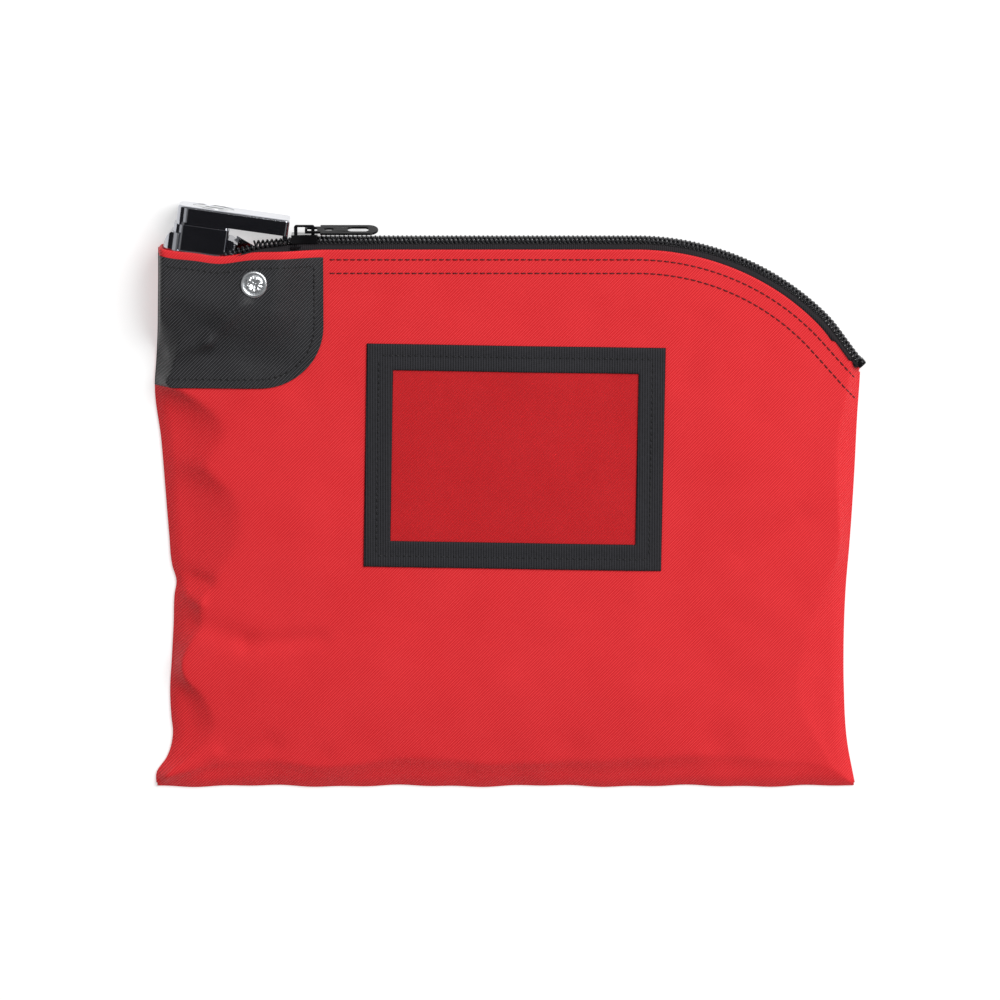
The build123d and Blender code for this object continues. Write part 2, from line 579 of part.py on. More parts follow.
def make_pins():
    """Lower pins in the plug, upper pins and springs in the shell, parted at the shear line."""
    key_pins, drivers, springs = [], [], []
    for y, length in zip(pin_levels(), KEY_PIN_LENGTHS):
        key_pins.append(rod_x(y, 0, PIN_R, -PLUG_R + 0.12, -PLUG_R + 0.12 + length))
        start = -PLUG_R - 0.15
        drivers.append(rod_x(y, 0, PIN_R, start - DRIVER_LENGTH, start))
        spring = coil_spring(0.72, 0.14, SPRING_LENGTH - 0.5, 5)
        springs.append(Pos(start - DRIVER_LENGTH - 0.2, y, 0) * Rotation(0, -90, 0) * spring)
    return {
        "key_pins": Compound(children=key_pins),
        "driver_pins": Compound(children=drivers),
        "pin_springs": Compound(children=springs),
    }


def make_cylinder_trim():
    """The strip over the pin chambers, and the cam that the plug turns."""
    bottom = SHELL_BOTTOM
    cover = box(BIBLE_LEFT + 0.02, BIBLE_LEFT + 0.5, bottom + 0.05, HEAD[2] - 0.05, -1.95, 1.95)
    reach = BOLT_TRAVEL / 2
    cam = rod_y(0, 0, 4.1, BOLT_Y[1] + CAM_CLEARANCE, SHELL_BOTTOM + CAM_CLEARANCE)
    cam += rod_y(reach, -reach, CAM_PIN_R, BOLT_Y[0] + 0.3, BOLT_Y[1] + CAM_CLEARANCE)
    return {"pin_chamber_cover": cover, "plug_cam": cam}


def make_bolt():
    low, high = BOLT_Y
    bolt = box(BOLT_LEFT, BOLT_RIGHT, low, high, -BOLT_HALF, BOLT_HALF)
    bolt = chamfer(bolt.edges().filter_by(Axis.Z).group_by(Axis.X)[-1].sort_by(Axis.Y)[0], 1.2, 1.0)
    reach, r = BOLT_TRAVEL / 2, CAM_PIN_R + 0.12
    slot = box(reach - r, reach + r, low - 1, high + 1, -reach * math.sqrt(2) - r, -reach + r)
    return bolt - slot


def make_lock():
    springs = {
        "popup_spring": Pos(0, FLOOR_Y + 0.35, 0)
        * Rotation(-90, 0, 0)
        * coil_spring(2.8, 0.3, BOLT_Y[0] - 0.6 - FLOOR_Y - 0.75, 3.5),
        "latch_spring": Pos(BOLT_LEFT - 0.2, sum(BOLT_Y) / 2, 0)
        * Rotation(0, -90, 0)
        * coil_spring(0.8, 0.16, 4.9, 6),
    }
    head_pins = [rod_y(-11.2, z, 1.0, -5.9, HEAD[2] + 3.9) for z in (-5.6, 5.6)]
    x, y = STOP_PIN_AT
    parts = {
        "lock_housing": make_housing(),
        "lock_plunger": make_plunger(),
        "lock_head": make_head(),
        "cylinder_shell": make_shell(),
        "key_plug": make_plug(),
        **make_pins(),
        **make_cylinder_trim(),
        "latch_bolt": make_bolt(),
        **springs,
        "head_pins": Compound(children=head_pins),
        "plunger_stop_pin": rod_z(x, y, 1.0, -HOUSING_HALF_D + 0.05, -6.9),
    }
    return {name: place_lock(shape) for name, shape in parts.items()}


def make_rivet():
    """Tubular rivet through both sides of the bag and the lock, set over a washer at the front."""
    front_z = POCKET_Z + FABRIC + GAP
    washer_t = 0.8
    body = rod_z(0, 0, RIVET_R, 0.3, front_z + washer_t)
    body += rod_z(0, 0, RIVET_HEAD_R, 0.0, FABRIC)
    roll = Pos(0, 0, front_z + washer_t + 0.45) * Cylinder(3.9, 0.9)
    roll = fillet(roll.edges().group_by(Axis.Z)[-1], 0.5)
    body += roll
    body -= rod_z(0, 0, 1.7, 6.0, front_z + 3.0)
    washer = rod_z(0, 0, RIVET_HEAD_R, front_z, front_z + washer_t) - rod_z(0, 0, RIVET_R + GAP, 0, 40)
    washer = fillet(washer.edges().group_by(Axis.Z)[-1].sort_by(SortBy.RADIUS)[-1], 0.5)
    x, y, _ = (place_lock(Pos(*RIVET_AT, 0) * Box(1, 1, 1))).center()
    return {"lock_rivet": Pos(x, y, 0) * body, "rivet_washer": Pos(x, y, 0) * washer}


def main():
    os.makedirs("parts", exist_ok=True)
    outer, inner = outer_form(), inner_form()
    parts = {
        "front_panel": make_front_panel(outer, inner),
        "back_panel": make_back_panel(),
        "corner_patch": make_corner_patch(outer),
        **make_seam_tapes(),
        **make_window(),
        **make_tapes(inner),
        **make_coils(),
        "zipper_slider": make_slider(),
        "zipper_pull": make_pull(),
        "zipper_end_stop": make_end_stop(),
        **make_lock(),
        **make_rivet(),
    }
    for name, shape in parts.items():
        export_step(shape, f"parts/{name}.step")


main()
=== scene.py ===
"""Looks of a locking cash deposit bag that lies on its back panel.

The row frame's axes hold here: +X along the bag's width, +Y to the zippered mouth, +Z up through the bag.
Shapes are worked out in millimetres, as the bag's own design is, and become metres when a mesh is made.
"""

import json
import math

import bpy
import numpy as np
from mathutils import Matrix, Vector, noise


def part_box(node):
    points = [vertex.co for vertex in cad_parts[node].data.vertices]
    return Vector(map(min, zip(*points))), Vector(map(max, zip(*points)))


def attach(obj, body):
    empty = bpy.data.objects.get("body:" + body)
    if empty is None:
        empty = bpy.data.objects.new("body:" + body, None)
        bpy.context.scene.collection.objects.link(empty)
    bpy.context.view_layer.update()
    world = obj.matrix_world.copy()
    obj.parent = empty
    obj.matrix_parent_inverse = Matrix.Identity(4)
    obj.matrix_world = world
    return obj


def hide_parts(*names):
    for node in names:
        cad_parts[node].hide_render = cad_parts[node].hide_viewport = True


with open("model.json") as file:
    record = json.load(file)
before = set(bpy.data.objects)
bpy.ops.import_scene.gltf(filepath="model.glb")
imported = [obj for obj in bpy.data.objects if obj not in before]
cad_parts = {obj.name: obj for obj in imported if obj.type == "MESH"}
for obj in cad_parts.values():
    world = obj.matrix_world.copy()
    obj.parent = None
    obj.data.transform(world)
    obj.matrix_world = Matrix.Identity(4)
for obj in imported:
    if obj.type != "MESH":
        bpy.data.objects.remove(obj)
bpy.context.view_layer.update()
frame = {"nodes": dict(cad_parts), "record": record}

MM = 0.001


def box_mm(node):
    """Lowest and highest corner of a CAD node, in millimetres."""
    low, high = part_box(node)
    return np.array(low) / MM, np.array(high) / MM


# --- Driving sizes, in millimetres ------------------------------------------------------------
front_low, front_high = box_mm("front_panel")
rivet_low, rivet_high = box_mm("lock_rivet")
HALF_WIDTH = front_high[0]
BOTTOM = front_low[1]
MOUTH = front_high[1]
POCKET_TOP = front_high[2]
FRONT_TOP = box_mm("window_pane")[0][2]
SEAM_Z = 1.5
CLOTH = 0.6
INSIDE = 2.9  # least room under the front cloth, for the back cloth and the seam's binding
SOFTEST = 2.5  # rounds the meeting of the cloth's fall with that least room
PATCH_CLOTH = 0.8

CURVE_X, CURVE_R = 50.0, 103.0
CURVE_TURN = math.radians(48.5)
CHAIN_Z = 8.0
CHAIN_LEAN = math.radians(2.7)
CHAIN_OUT = 4.0  # middle of the chain beyond the mouth line
CHAIN_SHORT, CHAIN_DRAW = 2.0, 1.6  # where it ends before the seam, and how far it is drawn in there
COIL_PITCH = 1.78
CHAIN_START = -83.0  # where the two halves mesh, at the slider's mouth
TAPE_START = -84.5  # under the slider, so that no gap shows when it runs

LOCK_ORIGIN = np.array([-118.0, 114.6])
LOCK_TURN = math.radians(-8.0)
SIDE_WRAP, SIDE_SQUARE = 4.5, 4.0  # reach and squareness of the cloth's turn over the case's side
# Where the cloth over the case ends in the lock's frame, and the width over which it falls away.
CASE_RIGHT, CASE_RIGHT_FALL = 27.0, 20.0
CASE_BELOW, CASE_BELOW_FALL = -50.0, 24.0
# The left seam is carried up beside the case: by how much, from which y, and over what length.
SEAM_LIFT, SEAM_LIFT_FROM, SEAM_LIFT_OVER = 9.0, 62.0, 24.0
# How the front sags towards an edge: share of its height, and how far in from the edge.
SAG_LEFT, SAG_RIGHT, SAG_BOTTOM = (0.16, 42.0), (0.3, 26.0), (0.42, 34.0)
RIVET = (rivet_low[:2] + rivet_high[:2]) / 2 + np.array([0.5, 1.0])  # pulled to the mouth by the cloth
RIVET_Z = POCKET_TOP + 0.75

PATCH_RIGHT, PATCH_DROP, PATCH_BOTTOM = -73.3, 2.3, 52.0
PATCH_CORNER = 25.0
WINDOW_TAPE = 10.6


# --- Small helpers ----------------------------------------------------------------------------
def smooth(t):
    """Eases a 0 to 1 value at both ends."""
    t = np.clip(t, 0.0, 1.0)
    return t * t * (3 - 2 * t)


def spline(points, at):
    """Smooth curve through (position, value) points, by Hermite spans."""
    p = np.array(sorted(points), float)
    at = np.clip(np.asarray(at, float), p[0, 0], p[-1, 0])
    slope = np.gradient(p[:, 1], p[:, 0])
    i = np.clip(np.searchsorted(p[:, 0], at) - 1, 0, len(p) - 2)
    width = p[i + 1, 0] - p[i, 0]
    t = (at - p[i, 0]) / width
    a = p[i, 1] * (1 + 2 * t) * (1 - t) ** 2 + p[i + 1, 1] * t**2 * (3 - 2 * t)
    return a + width * (slope[i] * t * (1 - t) ** 2 - slope[i + 1] * t**2 * (1 - t))


def add_mesh(name, vertices, faces, smooth_shading=True):
    """A mesh object from points in millimetres."""
    mesh = bpy.data.meshes.new(name)
    mesh.from_pydata([tuple(v * MM) for v in vertices], [], faces)
    mesh.validate()
    mesh.update()
    obj = bpy.data.objects.new(name, mesh)
    bpy.context.scene.collection.objects.link(obj)
    for polygon in mesh.polygons:
        polygon.use_smooth = smooth_shading
    return obj


def grid_faces(rows, columns, close_columns=False):
    """Four-sided faces between the neighbouring points of a rows x columns grid."""
    last = columns if close_columns else columns - 1
    faces = []
    for low in range(0, (rows - 1) * columns, columns):
        high = low + columns
        for here in range(last):
            there = (here + 1) % columns
            faces.append((low + here, low + there, high + there, high + here))
    return faces


def add_grid(name, points, close_columns=False):
    """A sheet through a rows x columns x 3 array of points."""
    rows, columns = points.shape[:2]
    return add_mesh(name, points.reshape(-1, 3), grid_faces(rows, columns, close_columns))


def apply_modifiers(obj):
    """Turns an object's modifiers into its mesh."""
    bpy.context.view_layer.update()
    shaped = bpy.data.meshes.new_from_object(obj.evaluated_get(bpy.context.evaluated_depsgraph_get()))
    obj.modifiers.clear()
    obj.data = shaped
    return obj


def thicken(obj, thickness, offset=-1.0):
    """Gives a sheet its thickness: offset -1 is under its normals, 1 is over them."""
    modifier = obj.modifiers.new("cloth", "SOLIDIFY")
    modifier.thickness = thickness * MM
    modifier.offset = offset
    return apply_modifiers(obj)


def join(name, objects):
    """One mesh object made of several."""
    vertices, faces, start = [], [], 0
    for obj in objects:
        vertices += [v.co / MM for v in obj.data.vertices]
        faces += [tuple(start + i for i in p.vertices) for p in obj.data.polygons]
        start += len(obj.data.vertices)
        bpy.data.objects.remove(obj)
    return add_mesh(name, np.array([tuple(v) for v in vertices]), faces)


# --- Shape of the bag -------------------------------------------------------------------------
# How far each side seam has drawn in, from the bottom corner to the top: (y, inset).
LEFT_DRAW = [
    (-110, -1.2), (-105, -1.0), (-99, 3.0), (-89, 5.6), (-82, 5.0), (-72, 4.6), (-58, 5.4), (-44, 6.2),
    (-33, 6.6), (-27, 7.4), (-21, 5.8), (-8, 4.6), (12, 3.1), (30, 1.7), (51, -0.7), (62, 0.0), (76, 0.9),
    (92, 1.3), (110, 1.4),
]
RIGHT_DRAW = [
    (-110, 1.0), (-92, 4.4), (-70, 5.8), (-53, 6.0), (-28, 5.2), (-13, 4.0), (17, 2.2), (40, 1.2),
    (57, 0.2), (70, 0.0),
]

# Folds of the front cloth: start, end, half width, height. A negative height is a hollow.
FOLDS = [
    ((-134, -29), (-123, -35), 2.4, 1.3),
    ((-133, -23), (-120, -27), 3.0, -1.2),
    ((-124, -43), (-106, -50), 5.0, -0.9),
    ((-104, -51), (-76, -49), 4.0, -0.8),
    ((-139, -107), (-118, -97), 3.5, 1.1),
    ((-118, -103), (-96, -92), 5.0, -0.9),
    ((-84, -107), (-74, -98), 5.0, -0.7),
    ((-60, -107), (-52, -96), 6.0, -0.5),
    ((20, -107), (26, -95), 7.0, -0.5),
    ((90, -107), (84, -93), 7.0, -0.6),
    ((116, 0), (94, -16), 5.0, -0.6),
    ((76, 78), (70, 56), 6.0, -0.5),
    ((-73, 52), (-36, -50), 18.0, -0.5),
    ((76, 70), (102, 0), 17.0, 0.6),
    ((96, -30), (60, -80), 16.0, 0.5),
    ((-104, 88), (-119, 71), 3.2, 2.4),
    ((-119, 71), (-134, 66), 3.4, 2.0),
    ((-131, 84), (-116, 76), 6.5, -2.6),
    ((-92, 80), (-84, 56), 9.0, -0.9),
    ((-112, 66), (-104, 52), 8.0, 0.7),
]

# Where the front's side slope ends and its top begins, as a distance from the seam: (y or x, distance).
LEFT_CREASE = [
    (-109, 3), (-103, 5), (-97, 9), (-91, 14), (-86, 16.5), (-79, 15.7), (-72, 12), (-66, 6), (-60, 4),
    (-52, 6.5), (-44, 11), (-38, 10.5), (-31, 12), (-26, 15.5), (-18, 22), (-10, 26.6), (-3, 28.5), (4, 28),
    (10, 25.5), (16, 20), (20, 17), (24, 18.5), (28, 22), (34, 25), (39, 24), (45, 18.7), (50, 11), (53, 5),
    (58, 6), (66, 8), (110, 8),
]
RIGHT_CREASE = [
    (-110, 4), (-95, 10), (-72, 18), (-50, 15), (-32, 9), (-14, 4), (0, 5), (30, 7), (56, 4), (80, 4),
]
BOTTOM_CREASE = [
    (-141, 3), (-125, 8), (-102, 11), (-72, 9), (-40, 12), (0, 10), (50, 12), (100, 12), (130, 7), (141, 3),
]


def left_x(y):
    """The left seam."""
    return -HALF_WIDTH + spline(LEFT_DRAW, y)


def right_x(y):
    """The right seam."""
    return HALF_WIDTH - spline(RIGHT_DRAW, y)


def bottom_y(x):
    """The bottom seam, slightly puckered by its stitching."""
    return BOTTOM - 1.0 + 0.3 * np.sin(np.asarray(x) / 9.0) + 0.2 * np.sin(np.asarray(x) / 3.7 + 1.0)


def mouth_y(x):
    """The mouth's edge as a function of x, with its rise and dip beside the lock."""
    x = np.asarray(x, float)
    centre = MOUTH - CURVE_R
    arc_end = CURVE_X + CURVE_R * math.sin(CURVE_TURN)
    on_arc = centre + np.sqrt(np.maximum(CURVE_R**2 - np.clip(x - CURVE_X, 0, arc_end - CURVE_X) ** 2, 0))
    y = on_arc - np.maximum(x - arc_end, 0) * math.tan(CURVE_TURN)
    return y + 1.4 * np.exp(-(((x + 140) / 7) ** 2)) - 1.7 * np.exp(-(((x + 114) / 9) ** 2))


def lock_frame(x, y):
    """Where a point is in the lock's own frame."""
    dx, dy = x - LOCK_ORIGIN[0], y - LOCK_ORIGIN[1]
    c, s = math.cos(LOCK_TURN), math.sin(LOCK_TURN)
    return dx * c + dy * s, -dx * s + dy * c


def over_lock(x, y):
    """1 where the cloth lies on the lock's case, falling to 0 around it."""
    u, v = lock_frame(x, y)
    right = 1 - smooth((u - CASE_RIGHT) / CASE_RIGHT_FALL)
    below = smooth((v - CASE_BELOW) / CASE_BELOW_FALL)
    return right * below


def fold_height(x, y):
    """Height of all the folds together."""
    total = np.zeros(np.shape(x))
    for (x0, y0), (x1, y1), width, height in FOLDS:
        length = math.hypot(x1 - x0, y1 - y0)
        along = ((x - x0) * (x1 - x0) + (y - y0) * (y1 - y0)) / length
        across = ((y - y0) * (x1 - x0) - (x - x0) * (y1 - y0)) / length
        before = (np.maximum(-along, 0) / width) ** 2
        after = (np.maximum(along - length, 0) / width) ** 2
        ends = np.exp(-before - after)
        total += height * np.exp(-((across / width) ** 2)) * ends
    return total


def ripple(x, y):
    """Soft unevenness of slack cloth."""
    flat_x, flat_y = np.ravel(x), np.ravel(y)
    wide = [noise.noise(Vector((a / 46, b / 46, 2.7))) for a, b in zip(flat_x, flat_y)]
    fine = [noise.noise(Vector((a / 15, b / 15, 8.1))) for a, b in zip(flat_x, flat_y)]
    return (1.1 * np.array(wide) + 0.3 * np.array(fine)).reshape(np.shape(x))


def cloth_lift(y):
    """How far the left seam is carried up beside the lock's case."""
    return SEAM_LIFT * smooth((np.asarray(y, float) - SEAM_LIFT_FROM) / SEAM_LIFT_OVER)


def shoulder(distance, width):
    """0 at a seam, rising evenly to 1 at the given width, with a soft crease there."""
    t = distance / width
    return np.clip(0.5 * (t + 1 - np.sqrt((t - 1) ** 2 + 0.008)) + 0.002, 0, 1)


def side_wrap(distance):
    """0 at a seam, rising as a squared-off quarter round to 1."""
    t = np.clip(distance / SIDE_WRAP, 0, 1)
    return (1 - (1 - t) ** SIDE_SQUARE) ** (1 / SIDE_SQUARE)


def sag(distance, share, reach):
    """Share of the front's height that is lost at a distance from an edge."""
    return share * np.exp(-((distance / reach) ** 1.3))


def front_z(x, y):
    """Height of the outside of the front panel."""
    x, y = np.asarray(x, float), np.asarray(y, float)
    from_left = np.maximum(x - left_x(y), 0)
    from_right = np.maximum(right_x(y) - x, 0)
    from_bottom = np.maximum(y - bottom_y(x), 0)
    lock = over_lock(x, y)
    beside_lock = smooth((y - 64) / 18)
    left = shoulder(from_left, spline(LEFT_CREASE, y))
    left = left * (1 - beside_lock) + side_wrap(from_left) * beside_lock
    right = shoulder(from_right, spline(RIGHT_CREASE, y))
    below = shoulder(from_bottom, spline(BOTTOM_CREASE, x))
    low_left = sag(from_left, *SAG_LEFT) * (1 - beside_lock)
    low_right = sag(from_right, *SAG_RIGHT)
    low_below = sag(from_bottom, *SAG_BOTTOM)
    lean = np.maximum(x - CURVE_X, 0) * math.tan(CHAIN_LEAN)
    top = FRONT_TOP - 1.2 * smooth((MOUTH - 45 - y) / 120) - lean
    top = top * (1 - low_left) * (1 - low_right) * (1 - low_below)
    top = top + (POCKET_TOP - top) * lock
    base = SEAM_Z + cloth_lift(y) * (1 - smooth(from_left / 30))
    rise = left * right * below
    nearest = np.minimum(np.minimum(from_left, from_right), from_bottom)
    calm_mouth = smooth((mouth_y(x) - y) / 22)
    calm_seam = smooth(nearest / 5)
    calm_rivet = 1 - np.exp(-(((x - RIVET[0]) ** 2 + (y - RIVET[1]) ** 2) / 7.5**2) ** 2)
    free = calm_seam * (0.1 + 0.9 * calm_mouth) * calm_rivet
    soft = fold_height(x, y) * (1 - 0.35 * lock) + ripple(x, y) * (1 - 0.7 * lock)
    height = base + (top - base) * rise + free * soft
    least = SEAM_Z + INSIDE * (1 - np.exp(-nearest / 3.5))
    return 0.5 * (height + least + np.sqrt((height - least) ** 2 + SOFTEST * calm_seam))


def eased(count, power=0.8):
    """Positions from 0 to 1 that crowd towards both ends."""
    t = np.linspace(0, 1, count)
    return (1 - power) * t + power * (1 - np.cos(np.pi * t)) / 2


def panel_plan(rows, columns):
    """Plan positions of a panel's grid, from the bottom seam to the mouth."""
    u = eased(columns)[None, :]
    v = eased(rows, 0.55)[:, None]
    x = -HALF_WIDTH + u * 2 * HALF_WIDTH + 0 * v
    for _ in range(3):
        y = bottom_y(x) * (1 - v) + mouth_y(x) * v
        x = left_x(y) * (1 - u) + right_x(y) * u
    y = bottom_y(x) * (1 - v) + mouth_y(x) * v
    return x, y


def mouth_normal(x):
    """Unit vector out of the mouth, in plan."""
    step = 0.5
    slope = (mouth_y(x + step) - mouth_y(x - step)) / (2 * step)
    size = np.sqrt(1 + slope**2)
    return -slope / size, 1 / size


def steepness(height, points):
    """The x and z of a panel's unit normal along its mouth, from its slope across the bag."""
    step, steepest = 0.4, 4
    x, y = points[:, 0], points[:, 1]
    rise = (height(x + step, y) - height(x - step, y)) / (2 * step)
    rise = np.clip(rise, -steepest, steepest)
    size = np.sqrt(1 + rise**2)
    return -rise / size, 1 / size


def make_front():
    """The front panel, with a rolled hem along the mouth."""
    x, y = panel_plan(200, 300)
    z = front_z(x, y)
    rows = [np.stack([x, y, z], -1)]
    top = rows[0][-1]
    nx, ny = mouth_normal(top[:, 0])
    ux, uz = steepness(front_z, top)
    for out, drop in ((0.35, -0.12), (0.6, -0.55), (0.6, -1.1), (0.2, -1.6), (-1.2, -1.75), (-6.0, -1.75)):
        ring = top + np.stack([nx * out + ux * drop, ny * out, uz * drop], -1)
        rows.append(ring[None])
    points = np.concatenate(rows)
    panel = add_grid("front_fabric", points)
    return thicken(panel, CLOTH)


def back_z(x, y):
    """Height of the outside of the back panel: on the table, and up the side of the lock's case."""
    x, y = np.asarray(x, float), np.asarray(y, float)
    from_left = np.maximum(x - left_x(y), 0)
    near = np.minimum(np.minimum(from_left, right_x(y) - x), y - bottom_y(x))
    lift = 0.55 * np.exp(-np.clip(near, 0, 99) / 3.0)
    patch = smooth((PATCH_RIGHT + 1.5 - x) / 1.5) * smooth((y - PATCH_BOTTOM + 1.5) / 1.5)
    dimple = 0.75 * np.exp(-(((x - RIVET[0]) ** 2 + (y - RIVET[1]) ** 2) / 6.5**2) ** 3)
    return lift + patch * (PATCH_CLOTH + 0.05) + dimple + cloth_lift(y) * (1 - side_wrap(from_left))


def make_back():
    """The back panel, with a rolled hem along the mouth."""
    x, y = panel_plan(110, 170)
    z = back_z(x, y)
    rows = [np.stack([x, y, z], -1)]
    top = rows[0][-1]
    nx, ny = mouth_normal(top[:, 0])
    ux, uz = steepness(back_z, top)
    for out, rise in ((0.35, 0.12), (0.5, 0.5), (0.35, 0.95), (-1.2, 1.2), (-6.0, 1.2)):
        rows.append((top + np.stack([nx * out + ux * rise, ny * out, uz * rise], -1))[None])
    panel = add_grid("back_fabric", np.concatenate(rows)[:, ::-1])
    return thicken(panel, CLOTH)


def make_side_seams():
    """The turned edge where front and back cloth are sewn together, as a soft rounded bead."""
    beads = []
    ys = np.linspace(BOTTOM, 108, 260)
    left = np.column_stack([left_x(ys), ys, cloth_lift(ys)])
    ys = np.linspace(BOTTOM, 57, 160)
    right = np.column_stack([right_x(ys), ys, np.zeros_like(ys)])
    xs = np.linspace(left_x(BOTTOM), right_x(BOTTOM), 260)
    bottom = np.column_stack([xs, bottom_y(xs), np.zeros_like(xs)])
    profile = [
        (-2.2, 2.1), (-1.2, 1.9), (-0.4, 1.65), (0.15, 1.25), (0.3, 0.9), (0.15, 0.6), (-0.5, 0.35),
        (-1.8, 0.3),
    ]
    for name, line, out in (("left", left, (-1, 0)), ("right", right, (1, 0)), ("bottom", bottom, (0, -1))):
        rings = []
        for x, y, lift in line:
            rings.append([(x + out[0] * o, y + out[1] * o, h + lift) for o, h in profile])
        beads.append(add_grid(f"{name}_bead", np.array(rings)))
    seam = join("seam_edges", beads)
    return thicken(seam, 0.35, 0.0)


# --- Corner patch -----------------------------------------------------------------------------
def patch_right(y):
    """Right edge of the patch, with its large rounded corner."""
    y = np.asarray(y, float)
    below = np.clip(PATCH_BOTTOM + PATCH_CORNER - y, 0, PATCH_CORNER)
    return PATCH_RIGHT - (PATCH_CORNER - np.sqrt(PATCH_CORNER**2 - below**2))


def make_patch():
    """The black patch: over the front, round the left edge and under the back."""
    rows, columns, under_columns = 110, 140, 30
    v = eased(rows, 0.3)
    turn = np.linspace(0, 1, 9)[1:]
    sheet = []
    for y, k in zip(PATCH_BOTTOM + v * (MOUTH - PATCH_DROP - PATCH_BOTTOM), v):
        edge, right = float(left_x(y)), float(patch_right(max(y, PATCH_BOTTOM + 0.02)))
        x = edge + (1 - eased(columns, 0.75)) * (right - edge)
        yy = y + k * (mouth_y(x) - MOUTH)
        front = np.column_stack([x, yy, front_z(x, yy) + PATCH_CLOTH])
        top_z, low_z = float(front_z(edge, yy[-1])) + 0.3, float(back_z(edge, yy[-1])) - 0.3
        fold_x = edge - 0.5 * np.sin(np.pi * (0.12 + 0.76 * turn))
        fold = np.column_stack([fold_x, np.full(len(turn), yy[-1]), top_z + (low_z - top_z) * turn])
        under_x = edge + 1.2 + eased(under_columns, 0.5) * (right - edge - 1.2)
        under_y = y + k * (mouth_y(under_x) - MOUTH)
        under_z = np.maximum(back_z(under_x, under_y) - PATCH_CLOTH - 0.02, 0.02)
        sheet.append(np.concatenate([front, fold, np.column_stack([under_x, under_y, under_z])]))
    patch = add_grid("corner_patch_cloth", np.array(sheet))
    return thicken(patch, PATCH_CLOTH - 0.15, 1.0)


# --- Card window ------------------------------------------------------------------------------
def window_corners():
    """Outer corners of the card window's tape, clockwise from the upper left, in plan."""
    top_low, top_high = box_mm("window_tape_top")
    low_low, low_high = box_mm("window_tape_bottom")
    drop = top_high[1] - top_low[1] - WINDOW_TAPE
    return np.array([
        (top_low[0], top_high[1]),
        (top_high[0], top_high[1] - drop),
        (low_high[0], low_low[1]),
        (low_low[0], low_low[1] + drop),
    ])


def window_point(corners, u, v):
    """A plan point at fractions u from the left and v from the top of the window."""
    top = corners[0] * (1 - u) + corners[1] * u
    bottom = corners[3] * (1 - u) + corners[2] * u
    return top * (1 - v) + bottom * v


def make_window():
    """A clear pane, and a ribbed tape frame with raised edges over it."""
    corners = window_corners()
    width = np.linalg.norm(corners[1] - corners[0])
    height = np.linalg.norm(corners[3] - corners[0])
    across = [0.0, 0.25, 0.8, 2.5, 4.5, 5.3, 6.1, 8.0, 9.8, 10.35, WINDOW_TAPE]
    lift = [0.15, 0.6, 0.72, 0.66, 0.6, 0.5, 0.6, 0.66, 0.72, 0.6, 0.15]
    steps = 60
    rings = []
    for inset, rise in zip(across, lift):
        a, b = inset / width, inset / height
        loop = []
        path = [(a, b), (1 - a, b), (1 - a, 1 - b), (a, 1 - b)]
        for (u0, v0), (u1, v1) in zip(path, path[1:] + path[:1]):
            for t in np.linspace(0, 1, steps, endpoint=False):
                loop.append(window_point(corners, u0 + (u1 - u0) * t, v0 + (v1 - v0) * t))
        loop = np.array(loop)
        z = front_z(loop[:, 0], loop[:, 1]) + 0.35 + rise
        rings.append(np.column_stack([loop, z]))
    tape = add_grid("window_frame_tape", np.array(rings), close_columns=True)
    tape = thicken(tape, 0.4, 1.0)
    rows, columns = 40, 56
    inset = 2.5
    pane = []
    for v in np.linspace(inset / height, 1 - inset / height, rows):
        across = np.linspace(inset / width, 1 - inset / width, columns)
        line = np.array([window_point(corners, u, v) for u in across])
        pane.append(np.column_stack([line, front_z(line[:, 0], line[:, 1]) + 0.32]))
    pane = add_grid("window_pane_sheet", np.array(pane))
    return tape, thicken(pane, 0.2)


# --- Stitching --------------------------------------------------------------------------------
# A stitch's rings: (share of its length, share of its radius, height over its line).
STITCH_RINGS = [(0, 0.35, -0.25), (0.18, 0.9, 0.05), (0.5, 1.0, 0.12), (0.82, 0.9, 0.05), (1, 0.35, -0.25)]
STITCH_SIDES = 6


def stitch_bead(start, end, radius):
    """One stitch: a short bead between two points that dives into the cloth at both ends."""
    along = (end - start) / np.linalg.norm(end - start)
    side = np.cross(along, (0, 0, 1.0))
    side /= np.linalg.norm(side)
    rings = []
    for t, size, rise in STITCH_RINGS:
        centre = start * (1 - t) + end * t + np.array([0, 0, rise])
        rings.append([
            centre + radius * size * (side * math.cos(a) + np.array([0, 0, 1]) * math.sin(a))
            for a in np.linspace(0, 2 * math.pi, STITCH_SIDES, endpoint=False)
        ])
    return np.array(rings)


def stitch_row(name, line, pitch, length, radius):
    """A row of stitches along a line of points, evenly spaced by arc length."""
    gaps = np.linalg.norm(np.diff(line, axis=0), axis=1)
    reach = np.concatenate([[0], np.cumsum(gaps)])

    def point_at(s):
        return np.array([np.interp(s, reach, line[:, i]) for i in range(3)])

    first_end = tuple(reversed(range(STITCH_SIDES)))
    last_end = tuple((len(STITCH_RINGS) - 1) * STITCH_SIDES + i for i in range(STITCH_SIDES))
    bead_faces = grid_faces(len(STITCH_RINGS), STITCH_SIDES, True) + [first_end, last_end]
    vertices, faces = [], []
    for start in np.arange(pitch / 2, reach[-1] - length, pitch):
        base = len(vertices)
        vertices += list(stitch_bead(point_at(start), point_at(start + length), radius).reshape(-1, 3))
        faces += [tuple(base + i for i in face) for face in bead_faces]
    return add_mesh(name, np.array(vertices), faces)


def on_front(plan, lift):
    """Plan points carried up to a height over the front cloth."""
    return np.column_stack([plan, front_z(plan[:, 0], plan[:, 1]) + lift])


